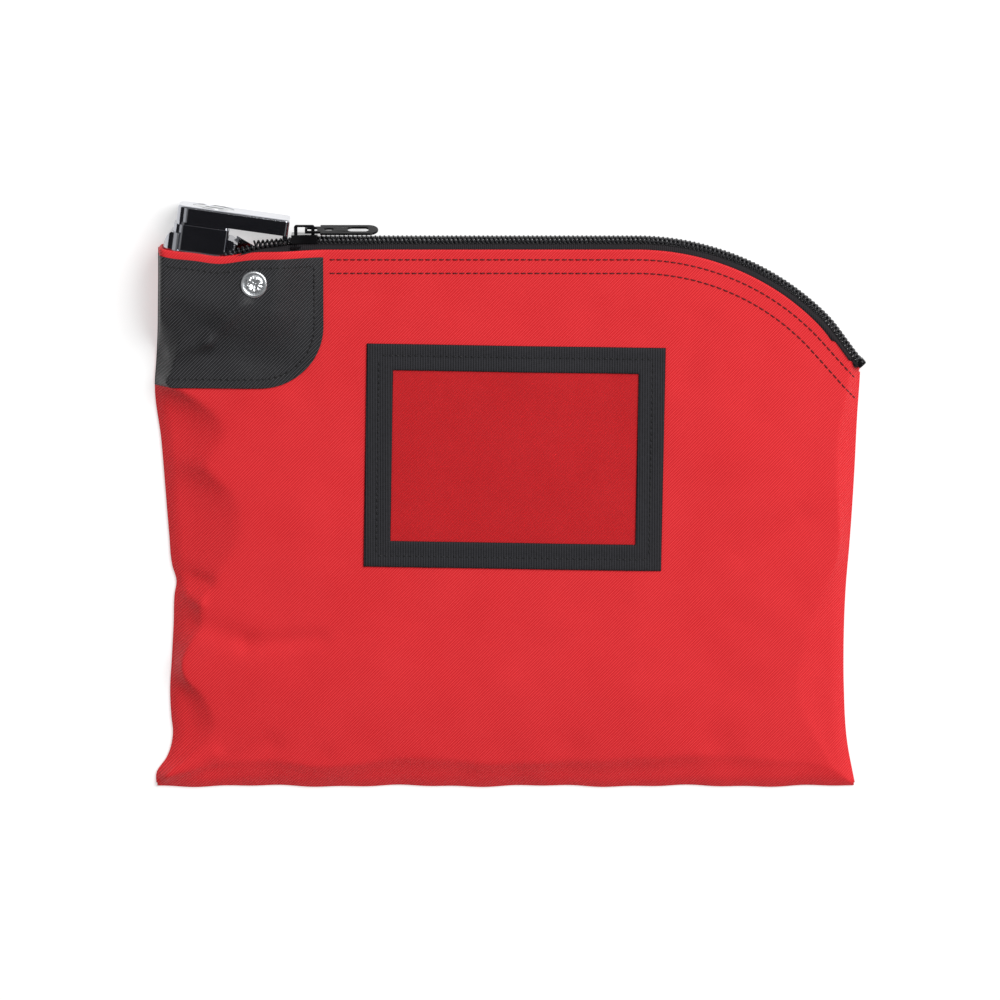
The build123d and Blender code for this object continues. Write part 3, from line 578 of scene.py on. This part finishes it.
def mouth_stitches():
    """Two rows along the mouth, from the patch to the right seam."""
    rows = []
    for drop in (3.3, 8.7):
        x = np.linspace(PATCH_RIGHT + 1.0, 150, 500)
        nx, ny = mouth_normal(x)
        plan = np.column_stack([x - nx * drop, mouth_y(x) - ny * drop])
        plan = plan[plan[:, 0] < right_x(plan[:, 1]) - 0.6]
        rows.append(stitch_row(f"mouth_row_{len(rows)}", on_front(plan, 0.12), 2.7, 2.35, 0.27))
    return join("mouth_stitching", rows)


def patch_stitches():
    """One row inside the patch's edges: top, right side, rounded corner and bottom."""
    inset = 3.6
    top_y = MOUTH - PATCH_DROP - 3.4
    top = [(x, top_y + float(mouth_y(x)) - MOUTH) for x in np.linspace(-136, PATCH_RIGHT - inset, 60)]
    radius = PATCH_CORNER - inset
    centre = (PATCH_RIGHT - PATCH_CORNER, PATCH_BOTTOM + PATCH_CORNER)
    turns = np.linspace(0, -math.pi / 2, 24)
    corner = [(centre[0] + radius * math.cos(a), centre[1] + radius * math.sin(a)) for a in turns]
    bottom = [(x, PATCH_BOTTOM + inset) for x in np.linspace(centre[0], -136, 40)]
    line = np.array(top + corner + bottom)
    return stitch_row("patch_stitching", on_front(line, PATCH_CLOTH + 0.12), 2.4, 1.9, 0.22)


def window_stitches():
    """One row along the middle of each length of the frame's tape."""
    corners = window_corners()
    width = np.linalg.norm(corners[1] - corners[0])
    height = np.linalg.norm(corners[3] - corners[0])
    a, b = 5.0 / width, 4.6 / height
    path = [(a, b), (1 - a, b), (1 - a, 1 - b), (a, 1 - b)]
    rows = []
    for i, ((u0, v0), (u1, v1)) in enumerate(zip(path, path[1:] + path[:1])):
        plan = np.array([
            window_point(corners, u0 + (u1 - u0) * t, v0 + (v1 - v0) * t) for t in np.linspace(0, 1, 80)
        ])
        rows.append(stitch_row(f"window_row_{i}", on_front(plan, 0.95), 2.5, 1.9, 0.22))
    return join("window_stitching", rows)


# --- Zipper -----------------------------------------------------------------------------------
def chain_path(offset, start_x, pitch):
    """Points along the mouth at an offset from it, evenly spaced, drawn in at the closed end."""
    arc_end = CURVE_X + CURVE_R * math.sin(CURVE_TURN)
    straight = CURVE_X - start_x
    radius = CURVE_R + offset
    run = (HALF_WIDTH - arc_end) / math.cos(CURVE_TURN) - CHAIN_SHORT
    total = straight + radius * CURVE_TURN + run
    points = []
    for s in np.arange(0, total, pitch):
        if s < straight:
            x, y, turn = start_x + s, MOUTH + offset, 0.0
        else:
            turn = min((s - straight) / radius, CURVE_TURN)
            rest = max(s - straight - radius * CURVE_TURN, 0.0)
            x = CURVE_X + radius * math.sin(turn) + rest * math.cos(turn)
            y = MOUTH - CURVE_R + radius * math.cos(turn) - rest * math.sin(turn)
        drawn = CHAIN_DRAW * float(smooth((s - total + 24) / 24))
        x, y = x - drawn * math.sin(turn), y - drawn * math.cos(turn)
        points.append((x, y, -max(x - CURVE_X, 0) * math.tan(CHAIN_LEAN), turn))
    return np.array(points)


def frame_point(at, out, z):
    """A point beside a path: out across it in plan, and z above the table, leaning with the path."""
    x, y, lean, turn = at
    return (x + out * math.sin(turn), y + out * math.cos(turn), z + lean)


def open_path(side, pitch):
    """Middle of a coil half from its end beside the lock to the slider's mouth."""
    if side > 0:
        knots = [
            (-113.0, 105.8, 19.0), (-108.0, 107.2, 20.2), (-103.0, 108.6, 20.4), (-98.0, 109.4, 18.0),
            (-92.0, 109.8, 13.6), (-87.0, 110.2, 10.7), (-83.0, 110.6, 9.6),
        ]
    else:
        knots = [(-101.0, 108.6, 3.3), (-95.0, 109.2, 4.2), (-89.0, 109.8, 5.4), (-83.0, 110.6, 6.4)]
    x = np.arange(knots[0][0], knots[-1][0], pitch)
    y = spline([(k[0], k[1]) for k in knots], x)
    z = spline([(k[0], k[2]) for k in knots], x)
    return np.column_stack([x, y, z])


def coil_curve(name, centres, outs, phase):
    """A flattened helix of round wire: centres along its middle, outs across it in plan."""
    turns = 14
    curve = bpy.data.curves.new(name, "CURVE")
    curve.dimensions = "3D"
    curve.bevel_depth = 0.42 * MM
    curve.bevel_resolution = 2
    line = curve.splines.new("POLY")
    points = []
    for i in range((len(centres) - 1) * turns):
        k, t = divmod(i, turns)
        t /= turns
        centre = centres[k] * (1 - t) + centres[k + 1] * t
        out = outs[k] * (1 - t) + outs[k + 1] * t
        angle = 2 * math.pi * t + phase
        points.append(centre + out * 1.2 * math.cos(angle) + np.array([0, 0, 1.35]) * math.sin(angle))
    line.points.add(len(points) - 1)
    for target, p in zip(line.points, points):
        target.co = (*(p * MM), 1.0)
    obj = bpy.data.objects.new(name, curve)
    bpy.context.scene.collection.objects.link(obj)
    mesh = bpy.data.meshes.new_from_object(obj.evaluated_get(bpy.context.evaluated_depsgraph_get()))
    bpy.data.objects.remove(obj)
    made = bpy.data.objects.new(name, mesh)
    bpy.context.scene.collection.objects.link(made)
    for polygon in mesh.polygons:
        polygon.use_smooth = True
    return made


def make_coils():
    """The meshed chain and, as pieces of their own, the parted halves beside the lock."""
    made = []
    path = chain_path(CHAIN_OUT, CHAIN_START, COIL_PITCH)
    for name, side in (("front", 1), ("back", -1)):
        centres = np.array([frame_point(p, 0, CHAIN_Z + side * 1.5) for p in path])
        outs = np.array([(math.sin(p[3]), math.cos(p[3]), 0) for p in path])
        made.append(coil_curve(f"coil_{name}", centres, outs, math.pi if side > 0 else 0.0))
    for name, side in (("front", 1), ("back", -1)):
        centres = open_path(side, COIL_PITCH)
        outs = np.tile(np.array([0, 0.8, 0.0]), (len(centres), 1))
        made.append(coil_curve(f"coil_{name}_open", centres, outs, math.pi if side > 0 else 0.0))
    return made


def make_cord_core():
    """The sewing threads that run along the chain and hold each coil to its tape."""
    made = []
    path = chain_path(CHAIN_OUT, CHAIN_START, 1.0)
    for name, side in (("front", 1), ("back", -1)):
        for index, z in enumerate((2.2, 3.3)):
            line = np.array([frame_point(p, -1.25 + 0.2 * index, CHAIN_Z + side * z) for p in path])
            made.append(stitch_row(f"chain_thread_{name}_{index}", line, 1.6, 1.35, 0.22))
    return join("chain_threads", made)


def make_tapes():
    """Each tape as a strip that comes out of the mouth and turns in to the coil."""
    made = []
    path = chain_path(0.0, TAPE_START, 1.5)
    front_profile = [
        (-6.0, 12.4), (-0.6, 12.5), (0.8, 12.6), (1.7, 12.4), (2.35, 11.7), (2.6, 10.6), (2.65, 9.2),
    ]
    back_profile = [(-6.0, 2.2), (-0.6, 2.0), (0.8, 1.9), (1.7, 2.2), (2.35, 3.4), (2.6, 5.2), (2.65, 6.8)]
    for name, profile in (("front", front_profile), ("back", back_profile)):
        rings = []
        for p in path:
            inner_x = min(p[0], HALF_WIDTH - 2.0)
            under_cloth = float(front_z(inner_x, float(mouth_y(inner_x)) - 1.0)) - 1.5
            ring = []
            for out, z in profile:
                x, y, height = frame_point(p, out, z)
                if name == "front" and y < float(mouth_y(x)) + 0.3:
                    height = min(height, under_cloth)
                ring.append((x, y, max(height, 1.6)))
            rings.append(ring)
        made.append(thicken(add_grid(f"tape_{name}", np.array(rings)), 0.45, 0.0))
    for name, side in (("front", 1), ("back", -1)):
        rings = []
        for x, y, z in open_path(side, 1.0):
            t = (x + 113.0) / 30.0
            low_y = float(mouth_y(x)) - 5.0
            deep = 19.4 - 6.9 * float(smooth(t)) if side > 0 else 1.9
            rings.append([
                (x, low_y, deep),
                (x, low_y * 0.5 + (y - 1.7) * 0.5, deep + side * 0.2),
                (x, y - 1.7, z + side * 1.5),
                (x, y - 1.5, z + side * 0.5),
                (x, y - 1.5, z - side * 0.6),
            ])
        made.append(thicken(add_grid(f"tape_{name}_open", np.array(rings)), 0.45, 0.0))
    return made


def rounded_box_ring(along, out, centre, step, half_width, half_height):
    """A ring of points round a box with rounded corners, across a path."""
    ring = []
    for a in np.linspace(0, 2 * math.pi, 24, endpoint=False):
        c, h = math.cos(a), math.sin(a)
        side = half_width * math.copysign(abs(c) ** 0.5, c)
        rise = half_height * math.copysign(abs(h) ** 0.5, h)
        ring.append(centre + along * step + out * side + np.array([0, 0, rise]))
    return ring


def make_end_stop(path):
    """A small clamp over the chain's closed end."""
    half_width, half_height = 1.9, 3.3
    at = path[-1]
    along = np.array([math.cos(at[3]), -math.sin(at[3]), 0])
    out = np.array([math.sin(at[3]), math.cos(at[3]), 0])
    centre = np.array(frame_point(at, 0, CHAIN_Z))
    rings = []
    for step, size in ((-1.3, 0.7), (-1.2, 0.92), (-0.8, 1.0), (0.8, 1.0), (1.2, 0.92), (1.3, 0.7)):
        rings.append(rounded_box_ring(along, out, centre, step, half_width * size, half_height * size))
    return add_grid("chain_end_stop", np.array(rings), close_columns=True)


# --- Rivet ------------------------------------------------------------------------------------
# The rivet's two ends as (radius, height): the rolled-over front over its seat, the flange over the table.
RIVET_FRONT = [
    (0.0, 0.35), (0.5, 0.35), (0.9, 0.4), (1.2, 0.5), (1.7, 0.8), (2.2, 0.95), (2.8, 0.9), (3.3, 0.75),
    (3.6, 0.55), (3.75, 0.35), (3.85, 0.35), (3.95, 0.8), (4.3, 0.95), (4.8, 0.95), (5.15, 0.8),
    (5.35, 0.4), (5.35, -0.4),
]
RIVET_FLANGE = [
    (1.6, 12.0), (1.6, 0.5), (1.75, 0.25), (2.1, 0.1), (4.6, 0.05), (5.0, 0.15), (5.2, 0.4), (5.2, 0.8),
]
CRIMP_RADIUS = 3.7


def crimp(x, y):
    """Unevenness of the rivet's rolled-over metal."""
    coarse = noise.noise(Vector((x / 1.1, y / 1.1, 4.2)))
    fine = noise.noise(Vector((x / 0.5, y / 0.5, 1.7)))
    return 0.55 * (coarse + 0.6 * fine)


def make_rivet():
    """The rivet's two ends: rolled over roughly on the front, and a plain flange on the back."""
    around = 96
    rings = []
    for r, h in RIVET_FRONT:
        ring = []
        for a in np.linspace(0, 2 * math.pi, around, endpoint=False):
            rough = 0.0
            if r < CRIMP_RADIUS:
                rough = crimp(r * math.cos(a), r * math.sin(a)) * (1 - (r / 3.9) ** 4)
            ring.append((RIVET[0] + r * math.cos(a), RIVET[1] + r * math.sin(a), RIVET_Z + h + rough))
        rings.append(ring)
    face = add_grid("rivet_front", np.array(rings), close_columns=True)
    flange = []
    for r, z in RIVET_FLANGE:
        flange.append([
            (RIVET[0] + r * math.cos(a), RIVET[1] + r * math.sin(a), z)
            for a in np.linspace(0, -2 * math.pi, around, endpoint=False)
        ])
    back = add_grid("rivet_back", np.array(flange), close_columns=True)
    return join("rivet_ends", [face, back])


# --- Materials --------------------------------------------------------------------------------
class Shade:
    """A material's node tree, with short ways to add nodes and links."""

    def __init__(self, name):
        self.material = bpy.data.materials.new(name)
        self.material.use_nodes = True
        self.tree = self.material.node_tree
        self.shader = self.tree.nodes["Principled BSDF"]
        place = self.tree.nodes.new("ShaderNodeTexCoord")
        self.place = place.outputs["Object"]

    def node(self, kind, **values):
        made = self.tree.nodes.new(kind)
        for key, value in values.items():
            if key in made.inputs:
                made.inputs[key].default_value = value
            else:
                setattr(made, key, value)
        return made

    def link(self, a, b):
        self.tree.links.new(a, b)

    def mapped(self, turn=0.0, scale=(1, 1, 1)):
        mapping = self.node("ShaderNodeMapping", Rotation=(0, 0, turn), Scale=scale)
        self.link(self.place, mapping.inputs["Vector"])
        return mapping.outputs["Vector"]

    def noise(self, size, detail=2.0, scale=(1, 1, 1), turn=0.0):
        made = self.node("ShaderNodeTexNoise", Scale=1 / size, Detail=detail)
        self.link(self.mapped(turn, scale), made.inputs["Vector"])
        return made.outputs["Fac"]

    def bands(self, pitch, turn, direction="X"):
        """Rounded ridges, one each pitch metres."""
        made = self.node(
            "ShaderNodeTexWave", Scale=math.pi / (10 * pitch), wave_type="BANDS", bands_direction=direction
        )
        self.link(self.mapped(turn), made.inputs["Vector"])
        return made.outputs["Fac"]

    def math(self, operation, a, b):
        made = self.node("ShaderNodeMath", operation=operation)
        for socket, value in zip(made.inputs, (a, b)):
            if isinstance(value, (int, float)):
                socket.default_value = value
            else:
                self.link(value, socket)
        return made.outputs[0]

    def spread(self, value, low, high):
        """Carries a 0 to 1 value to the range from low to high."""
        made = self.node("ShaderNodeMapRange")
        made.inputs["To Min"].default_value = low
        made.inputs["To Max"].default_value = high
        self.link(value, made.inputs["Value"])
        return made.outputs["Result"]

    def blend(self, factor, dark, light):
        made = self.node("ShaderNodeMix", data_type="RGBA")
        made.inputs[6].default_value = (*dark, 1)
        made.inputs[7].default_value = (*light, 1)
        self.link(factor, made.inputs[0])
        return made.outputs[2]

    def bump(self, height, distance, strength=1.0, under=None):
        made = self.node("ShaderNodeBump", Strength=strength, Distance=distance)
        self.link(height, made.inputs["Height"])
        if under is not None:
            self.link(under, made.inputs["Normal"])
        return made.outputs["Normal"]

    def finish(self, colour=None, roughness=None, normal=None, **values):
        if colour is not None:
            self.link(colour, self.shader.inputs["Base Color"])
        if roughness is not None:
            self.link(roughness, self.shader.inputs["Roughness"])
        if normal is not None:
            self.link(normal, self.shader.inputs["Normal"])
        for key, value in values.items():
            self.shader.inputs[key.replace("_", " ")].default_value = value
        return self.material


def cloth(
    name, dark, light, pitch, turn, depth, roughness=(0.5, 0.65), gloss=0.2, mottle=0.02, sharp=1.0, **values
):
    """Woven cloth: slanting ridges cut across by finer ones, with slow changes of colour and fine fuzz; its
    colour is painted lighter on the ridge tops as a painted sheen and darker in the grooves as painted
    shade.
    """
    s = Shade(name)
    ridges = s.bands(pitch, turn, "X")
    cuts = s.spread(s.bands(pitch * 0.62, turn, "Y"), 0.35, 1.0)
    weave = s.math("POWER", s.math("MULTIPLY", ridges, cuts), sharp)
    patchy = s.noise(mottle, 3.0)
    fuzz = s.noise(0.0012, 2.0)
    # The weave's ridge tops are painted lighter as a painted sheen and its grooves darker as painted shade;
    # the slow mottle and the fuzz are the cloth's own uneven tone.
    tone = s.math("ADD", s.math("MULTIPLY", weave, 0.9), s.math("MULTIPLY", patchy, 0.16))
    tone = s.math("ADD", tone, s.math("MULTIPLY", fuzz, 0.1))
    colour = s.blend(tone, dark, light)
    normal = s.bump(s.math("ADD", weave, s.math("MULTIPLY", fuzz, 0.3)), depth, 0.8)
    rough = s.spread(patchy, *roughness)
    return s.finish(colour, rough, normal, Specular_IOR_Level=gloss, **values)


def ribbed_tape(name, dark, light, pitch, direction):
    """Grosgrain: ribs across the tape with a fine weave on them; the colour is painted lighter on the rib
    tops as a painted sheen and darker in the furrows as painted shade.
    """
    s = Shade(name)
    ribs = s.bands(pitch, 0.0, direction)
    fine = s.bands(pitch * 0.6, math.pi / 4)
    fuzz = s.noise(0.001, 2.0)
    height = s.math("ADD", s.math("MULTIPLY", ribs, 0.7), s.math("MULTIPLY", fine, 0.3))
    # The colour follows the ribs' height: rib tops are painted lighter as a painted sheen and furrows darker
    # as painted shade; the fuzz is the tape's own uneven tone.
    tone = s.math("ADD", s.math("MULTIPLY", height, 0.6), s.math("MULTIPLY", fuzz, 0.4))
    normal = s.bump(s.math("ADD", height, s.math("MULTIPLY", fuzz, 0.4)), 0.00022, 0.8)
    rough = s.spread(fuzz, 0.6, 0.85)
    return s.finish(s.blend(tone, dark, light), rough, normal, Specular_IOR_Level=0.22)


def metal(name, dark, light, roughness, grain=0.0):
    """Metal with faint smudges, fine scratches and slight unevenness of the polish."""
    s = Shade(name)
    smudge = s.noise(0.012, 4.0)
    scratches = s.noise(0.0006, 2.0, (1, 22, 1), 0.4)
    rough = s.math("ADD", s.spread(smudge, *roughness), s.math("MULTIPLY", scratches, 0.04 + grain))
    colour = s.blend(smudge, dark, light)
    waves = s.noise(0.009, 2.0)
    normal = s.bump(waves, 0.00004, 0.5)
    normal = s.bump(scratches, 0.000006 + grain * 0.00005, 0.5, normal)
    return s.finish(colour, rough, normal, Metallic=1.0)


def moulded(name, dark, light, roughness, **values):
    """Moulded nylon: slight gloss, fine grain."""
    s = Shade(name)
    grain = s.noise(0.0008, 3.0)
    slow = s.noise(0.01, 2.0)
    normal = s.bump(grain, 0.00003, 0.5)
    return s.finish(s.blend(slow, dark, light), s.spread(grain, *roughness), normal, **values)


def clear_sheet(name):
    """Thin clear vinyl that lets the cloth show through, with soft ripples in its gloss."""
    s = Shade(name)
    ripples = s.noise(0.02, 3.0)
    haze = s.noise(0.004, 4.0)
    normal = s.bump(ripples, 0.0008, 0.6)
    colour = s.blend(haze, (0.50, 0.016, 0.020), (0.60, 0.024, 0.030))
    rough = s.spread(haze, 0.14, 0.24)
    return s.finish(colour, rough, normal, Alpha=0.2, IOR=1.45, Specular_IOR_Level=0.35)


def thread(name, dark, light):
    """Twisted sewing thread."""
    s = Shade(name)
    twist = s.bands(0.0004, math.pi / 3)
    fuzz = s.noise(0.0006, 2.0)
    normal = s.bump(twist, 0.00008, 0.7)
    return s.finish(s.blend(fuzz, dark, light), s.spread(fuzz, 0.4, 0.7), normal)


DIAGONAL = math.radians(45)
looks = {
    "red_nylon": cloth(
        "red_nylon", (0.62, 0.006, 0.011), (1.0, 0.068, 0.078), 0.00088, DIAGONAL, 0.00022, gloss=0.2,
        Specular_Tint=(1.0, 0.6, 0.6, 1.0),
    ),
    "ballistic_cloth": cloth(
        "ballistic_cloth", (0.0003, 0.0003, 0.0005), (0.125, 0.125, 0.135), 0.00098, DIAGONAL, 0.0003,
        (0.34, 0.44), gloss=0.2, sharp=2.2,
    ),
    "binding_tape": cloth("binding_tape", (0.28, 0.012, 0.016), (0.45, 0.025, 0.03), 0.0007, 0.0, 0.00015),
    "window_tape": ribbed_tape("window_tape", (0.0005, 0.0005, 0.0008), (0.045, 0.045, 0.052), 0.0010, "X"),
    "clear_vinyl": clear_sheet("clear_vinyl"),
    "zipper_cloth": ribbed_tape("zipper_cloth", (0.006, 0.005, 0.006), (0.030, 0.026, 0.030), 0.0008, "X"),
    "coil_nylon": moulded("coil_nylon", (0.012, 0.012, 0.014), (0.03, 0.03, 0.034), (0.25, 0.4)),
    "black_enamel": moulded(
        "black_enamel", (0.003, 0.003, 0.0035), (0.008, 0.008, 0.009), (0.08, 0.16), Specular_IOR_Level=0.14
    ),
    "chrome": metal("chrome", (0.43, 0.44, 0.48), (0.49, 0.50, 0.54), (0.03, 0.09)),
    "cylinder_brass": metal("cylinder_brass", (0.52, 0.38, 0.14), (0.68, 0.52, 0.24), (0.2, 0.35), 0.1),
    "plug_nickel": metal("plug_nickel", (0.50, 0.51, 0.52), (0.66, 0.67, 0.68), (0.15, 0.3), 0.08),
    "spring_steel": metal("spring_steel", (0.34, 0.35, 0.37), (0.5, 0.51, 0.53), (0.2, 0.35), 0.06),
    "rivet_nickel": metal("rivet_nickel", (0.62, 0.64, 0.66), (0.86, 0.88, 0.90), (0.16, 0.34), 0.1),
    "red_thread": thread("red_thread", (0.05, 0.003, 0.004), (0.13, 0.006, 0.008)),
    "black_thread": thread("black_thread", (0.004, 0.004, 0.005), (0.02, 0.02, 0.022)),
}


def dress(obj, look):
    """Gives a piece its material."""
    obj.data.materials.clear()
    obj.data.materials.append(looks[look])
    return obj


def place(obj, look, slot, body="bag"):
    """Dresses a piece and lets it ride on a body."""
    dress(obj, look)
    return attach(obj, body)


# --- CAD nodes that stay in view --------------------------------------------------------------
def dress_cad_nodes():
    """Gives every CAD node the look of its own slot."""
    slots = {s["node"]: s["material_slot"] for s in frame["record"]["subparts"]}
    for name, obj in frame["nodes"].items():
        look = looks[slots[name]]
        for material_slot in obj.material_slots:
            material_slot.material = look


def soften_edges(node, width):
    """Rounds a CAD node's sharp edges so that they catch the light."""
    obj = frame["nodes"][node]
    weld = obj.modifiers.new("weld", "WELD")
    weld.merge_threshold = 0.005 * MM
    bevel = obj.modifiers.new("edges", "BEVEL")
    bevel.width = width * MM
    bevel.segments = 3
    bevel.limit_method = "ANGLE"
    bevel.angle_limit = math.radians(35)
    bevel.harden_normals = False
    smooth_by_angle(obj)


def smooth_by_angle(obj):
    """Smooth shading that keeps the sharp edges."""
    for polygon in obj.data.polygons:
        polygon.use_smooth = True
    normals = obj.modifiers.new("normals", "WEIGHTED_NORMAL")
    normals.keep_sharp = True


# --- Assembly ---------------------------------------------------------------------------------
dress_cad_nodes()
EDGE_WIDTHS = {
    "lock_head": 0.35, "lock_plunger": 0.25, "lock_housing": 0.25, "zipper_slider": 0.45, "zipper_pull": 0.3,
}
for node, width in EDGE_WIDTHS.items():
    soften_edges(node, width)

front = place(make_front(), "red_nylon", "red_nylon")
back = place(make_back(), "red_nylon", "red_nylon")
seams = place(make_side_seams(), "red_nylon", "red_nylon")
patch = place(make_patch(), "ballistic_cloth", "ballistic_cloth")
window_tape, pane = make_window()
place(window_tape, "window_tape", "window_tape")
place(pane, "clear_vinyl", "clear_vinyl")
place(mouth_stitches(), "red_thread", "red_nylon")
place(patch_stitches(), "black_thread", "ballistic_cloth")
place(window_stitches(), "black_thread", "window_tape")
coil_front, coil_back, open_front, open_back = make_coils()
for coil in (coil_front, coil_back, open_front, open_back):
    place(coil, "coil_nylon", "coil_nylon")
place(make_cord_core(), "black_thread", "zipper_cloth")
tape_front, tape_back, tape_front_open, tape_back_open = make_tapes()
for tape in (tape_front, tape_back, tape_front_open, tape_back_open):
    place(tape, "zipper_cloth", "zipper_cloth")
end_stop = make_end_stop(chain_path(CHAIN_OUT, CHAIN_START, COIL_PITCH))
place(end_stop, "black_enamel", "black_enamel")
rivet = place(make_rivet(), "rivet_nickel", "rivet_nickel")
for node in ("cylinder_shell", "head_pins"):
    for material_slot in frame["nodes"][node].material_slots:
        material_slot.material = looks["plug_nickel"]

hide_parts("front_panel")
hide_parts("back_panel")
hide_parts("corner_patch")
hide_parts("window_tape_top", "window_tape_bottom", "window_tape_left", "window_tape_right")
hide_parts("window_pane")
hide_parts("zipper_coil_front")
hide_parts("zipper_coil_back")
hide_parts("zipper_tape_front")
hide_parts("zipper_tape_back")
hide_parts("rivet_washer", "lock_rivet")
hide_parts("zipper_end_stop")


# --- Studio -----------------------------------------------------------------------------------
def make_floor():
    """A plain pale floor of matt paper."""
    size = 4000.0
    corners = [(-size, -size, -0.05), (size, -size, -0.05), (size, size, -0.05), (-size, size, -0.05)]
    floor = add_mesh("floor", np.array(corners), [(0, 1, 2, 3)], False)
    s = Shade("floor_paper")
    tone = s.noise(0.5, 2.0)
    paper = s.blend(tone, (0.60, 0.60, 0.60), (0.62, 0.62, 0.62))
    look = s.finish(paper, Roughness=0.9, Emission_Color=(1, 1, 1, 1), Emission_Strength=0.5)
    floor.data.materials.append(look)


def add_area_light(name, position, size, power):
    """A square light that looks at the middle of the bag."""
    data = bpy.data.lights.new(name, "AREA")
    data.shape = "RECTANGLE"
    data.size, data.size_y = size
    data.energy = power
    light = bpy.data.objects.new(name, data)
    light.location = position
    aim = -Vector(position)
    light.rotation_euler = aim.to_track_quat("-Z", "Y").to_euler()
    bpy.context.scene.collection.objects.link(light)


def add_dark_card(name, corners):
    """A dark card that is seen only in polished metal."""
    card = add_mesh(name, np.array(corners), [(0, 1, 2, 3)], False)
    s = Shade(name)
    tone = s.noise(0.3, 2.0)
    black = s.blend(tone, (0.004, 0.004, 0.006), (0.012, 0.012, 0.016))
    card.data.materials.append(s.finish(black, Roughness=1.0))
    card.visible_camera = False
    card.visible_diffuse = False
    card.visible_shadow = False
    card.visible_transmission = False


def set_world(strength):
    """Even white light from all round."""
    world = bpy.data.worlds.new("studio")
    world.use_nodes = True
    background = world.node_tree.nodes["Background"]
    background.inputs["Color"].default_value = (1, 1, 1, 1)
    background.inputs["Strength"].default_value = strength
    bpy.context.scene.world = world


def add_camera():
    """Nearly straight down, leaning a little to the mouth's side, with a long lens."""
    distance, lean, seen_width = 3.0, math.radians(8.5), 0.3974
    target = Vector((-0.0034, 0.0073, 0.014))
    data = bpy.data.cameras.new("camera")
    data.sensor_width = 36.0
    data.lens = data.sensor_width * distance / seen_width
    data.clip_end = 20.0
    camera = bpy.data.objects.new("camera", data)
    camera.location = target + distance * Vector((0, math.sin(lean), math.cos(lean)))
    camera.rotation_euler = (-lean, 0, 0)
    bpy.context.scene.collection.objects.link(camera)
    bpy.context.scene.camera = camera


make_floor()
half, near, far, z = 330, -2300, 120, 1500
add_dark_card("card_above", [(-half, near, z), (half, near, z), (half, far, z), (-half, far, z)])
half, top = 600, 1100
for name, x in (("card_left", -1300), ("card_right", 1300)):
    add_dark_card(name, [(x, -half, 0), (x, half, 0), (x, half, top), (x, -half, top)])
add_area_light("key", (1.4, 1.3, 2.5), (2.1, 2.1), 103.0)
add_area_light("fill", (-1.6, -0.4, 1.8), (1.6, 1.6), 3.0)
set_world(0.22)
add_camera()
bpy.context.scene.view_settings.view_transform = "Standard"
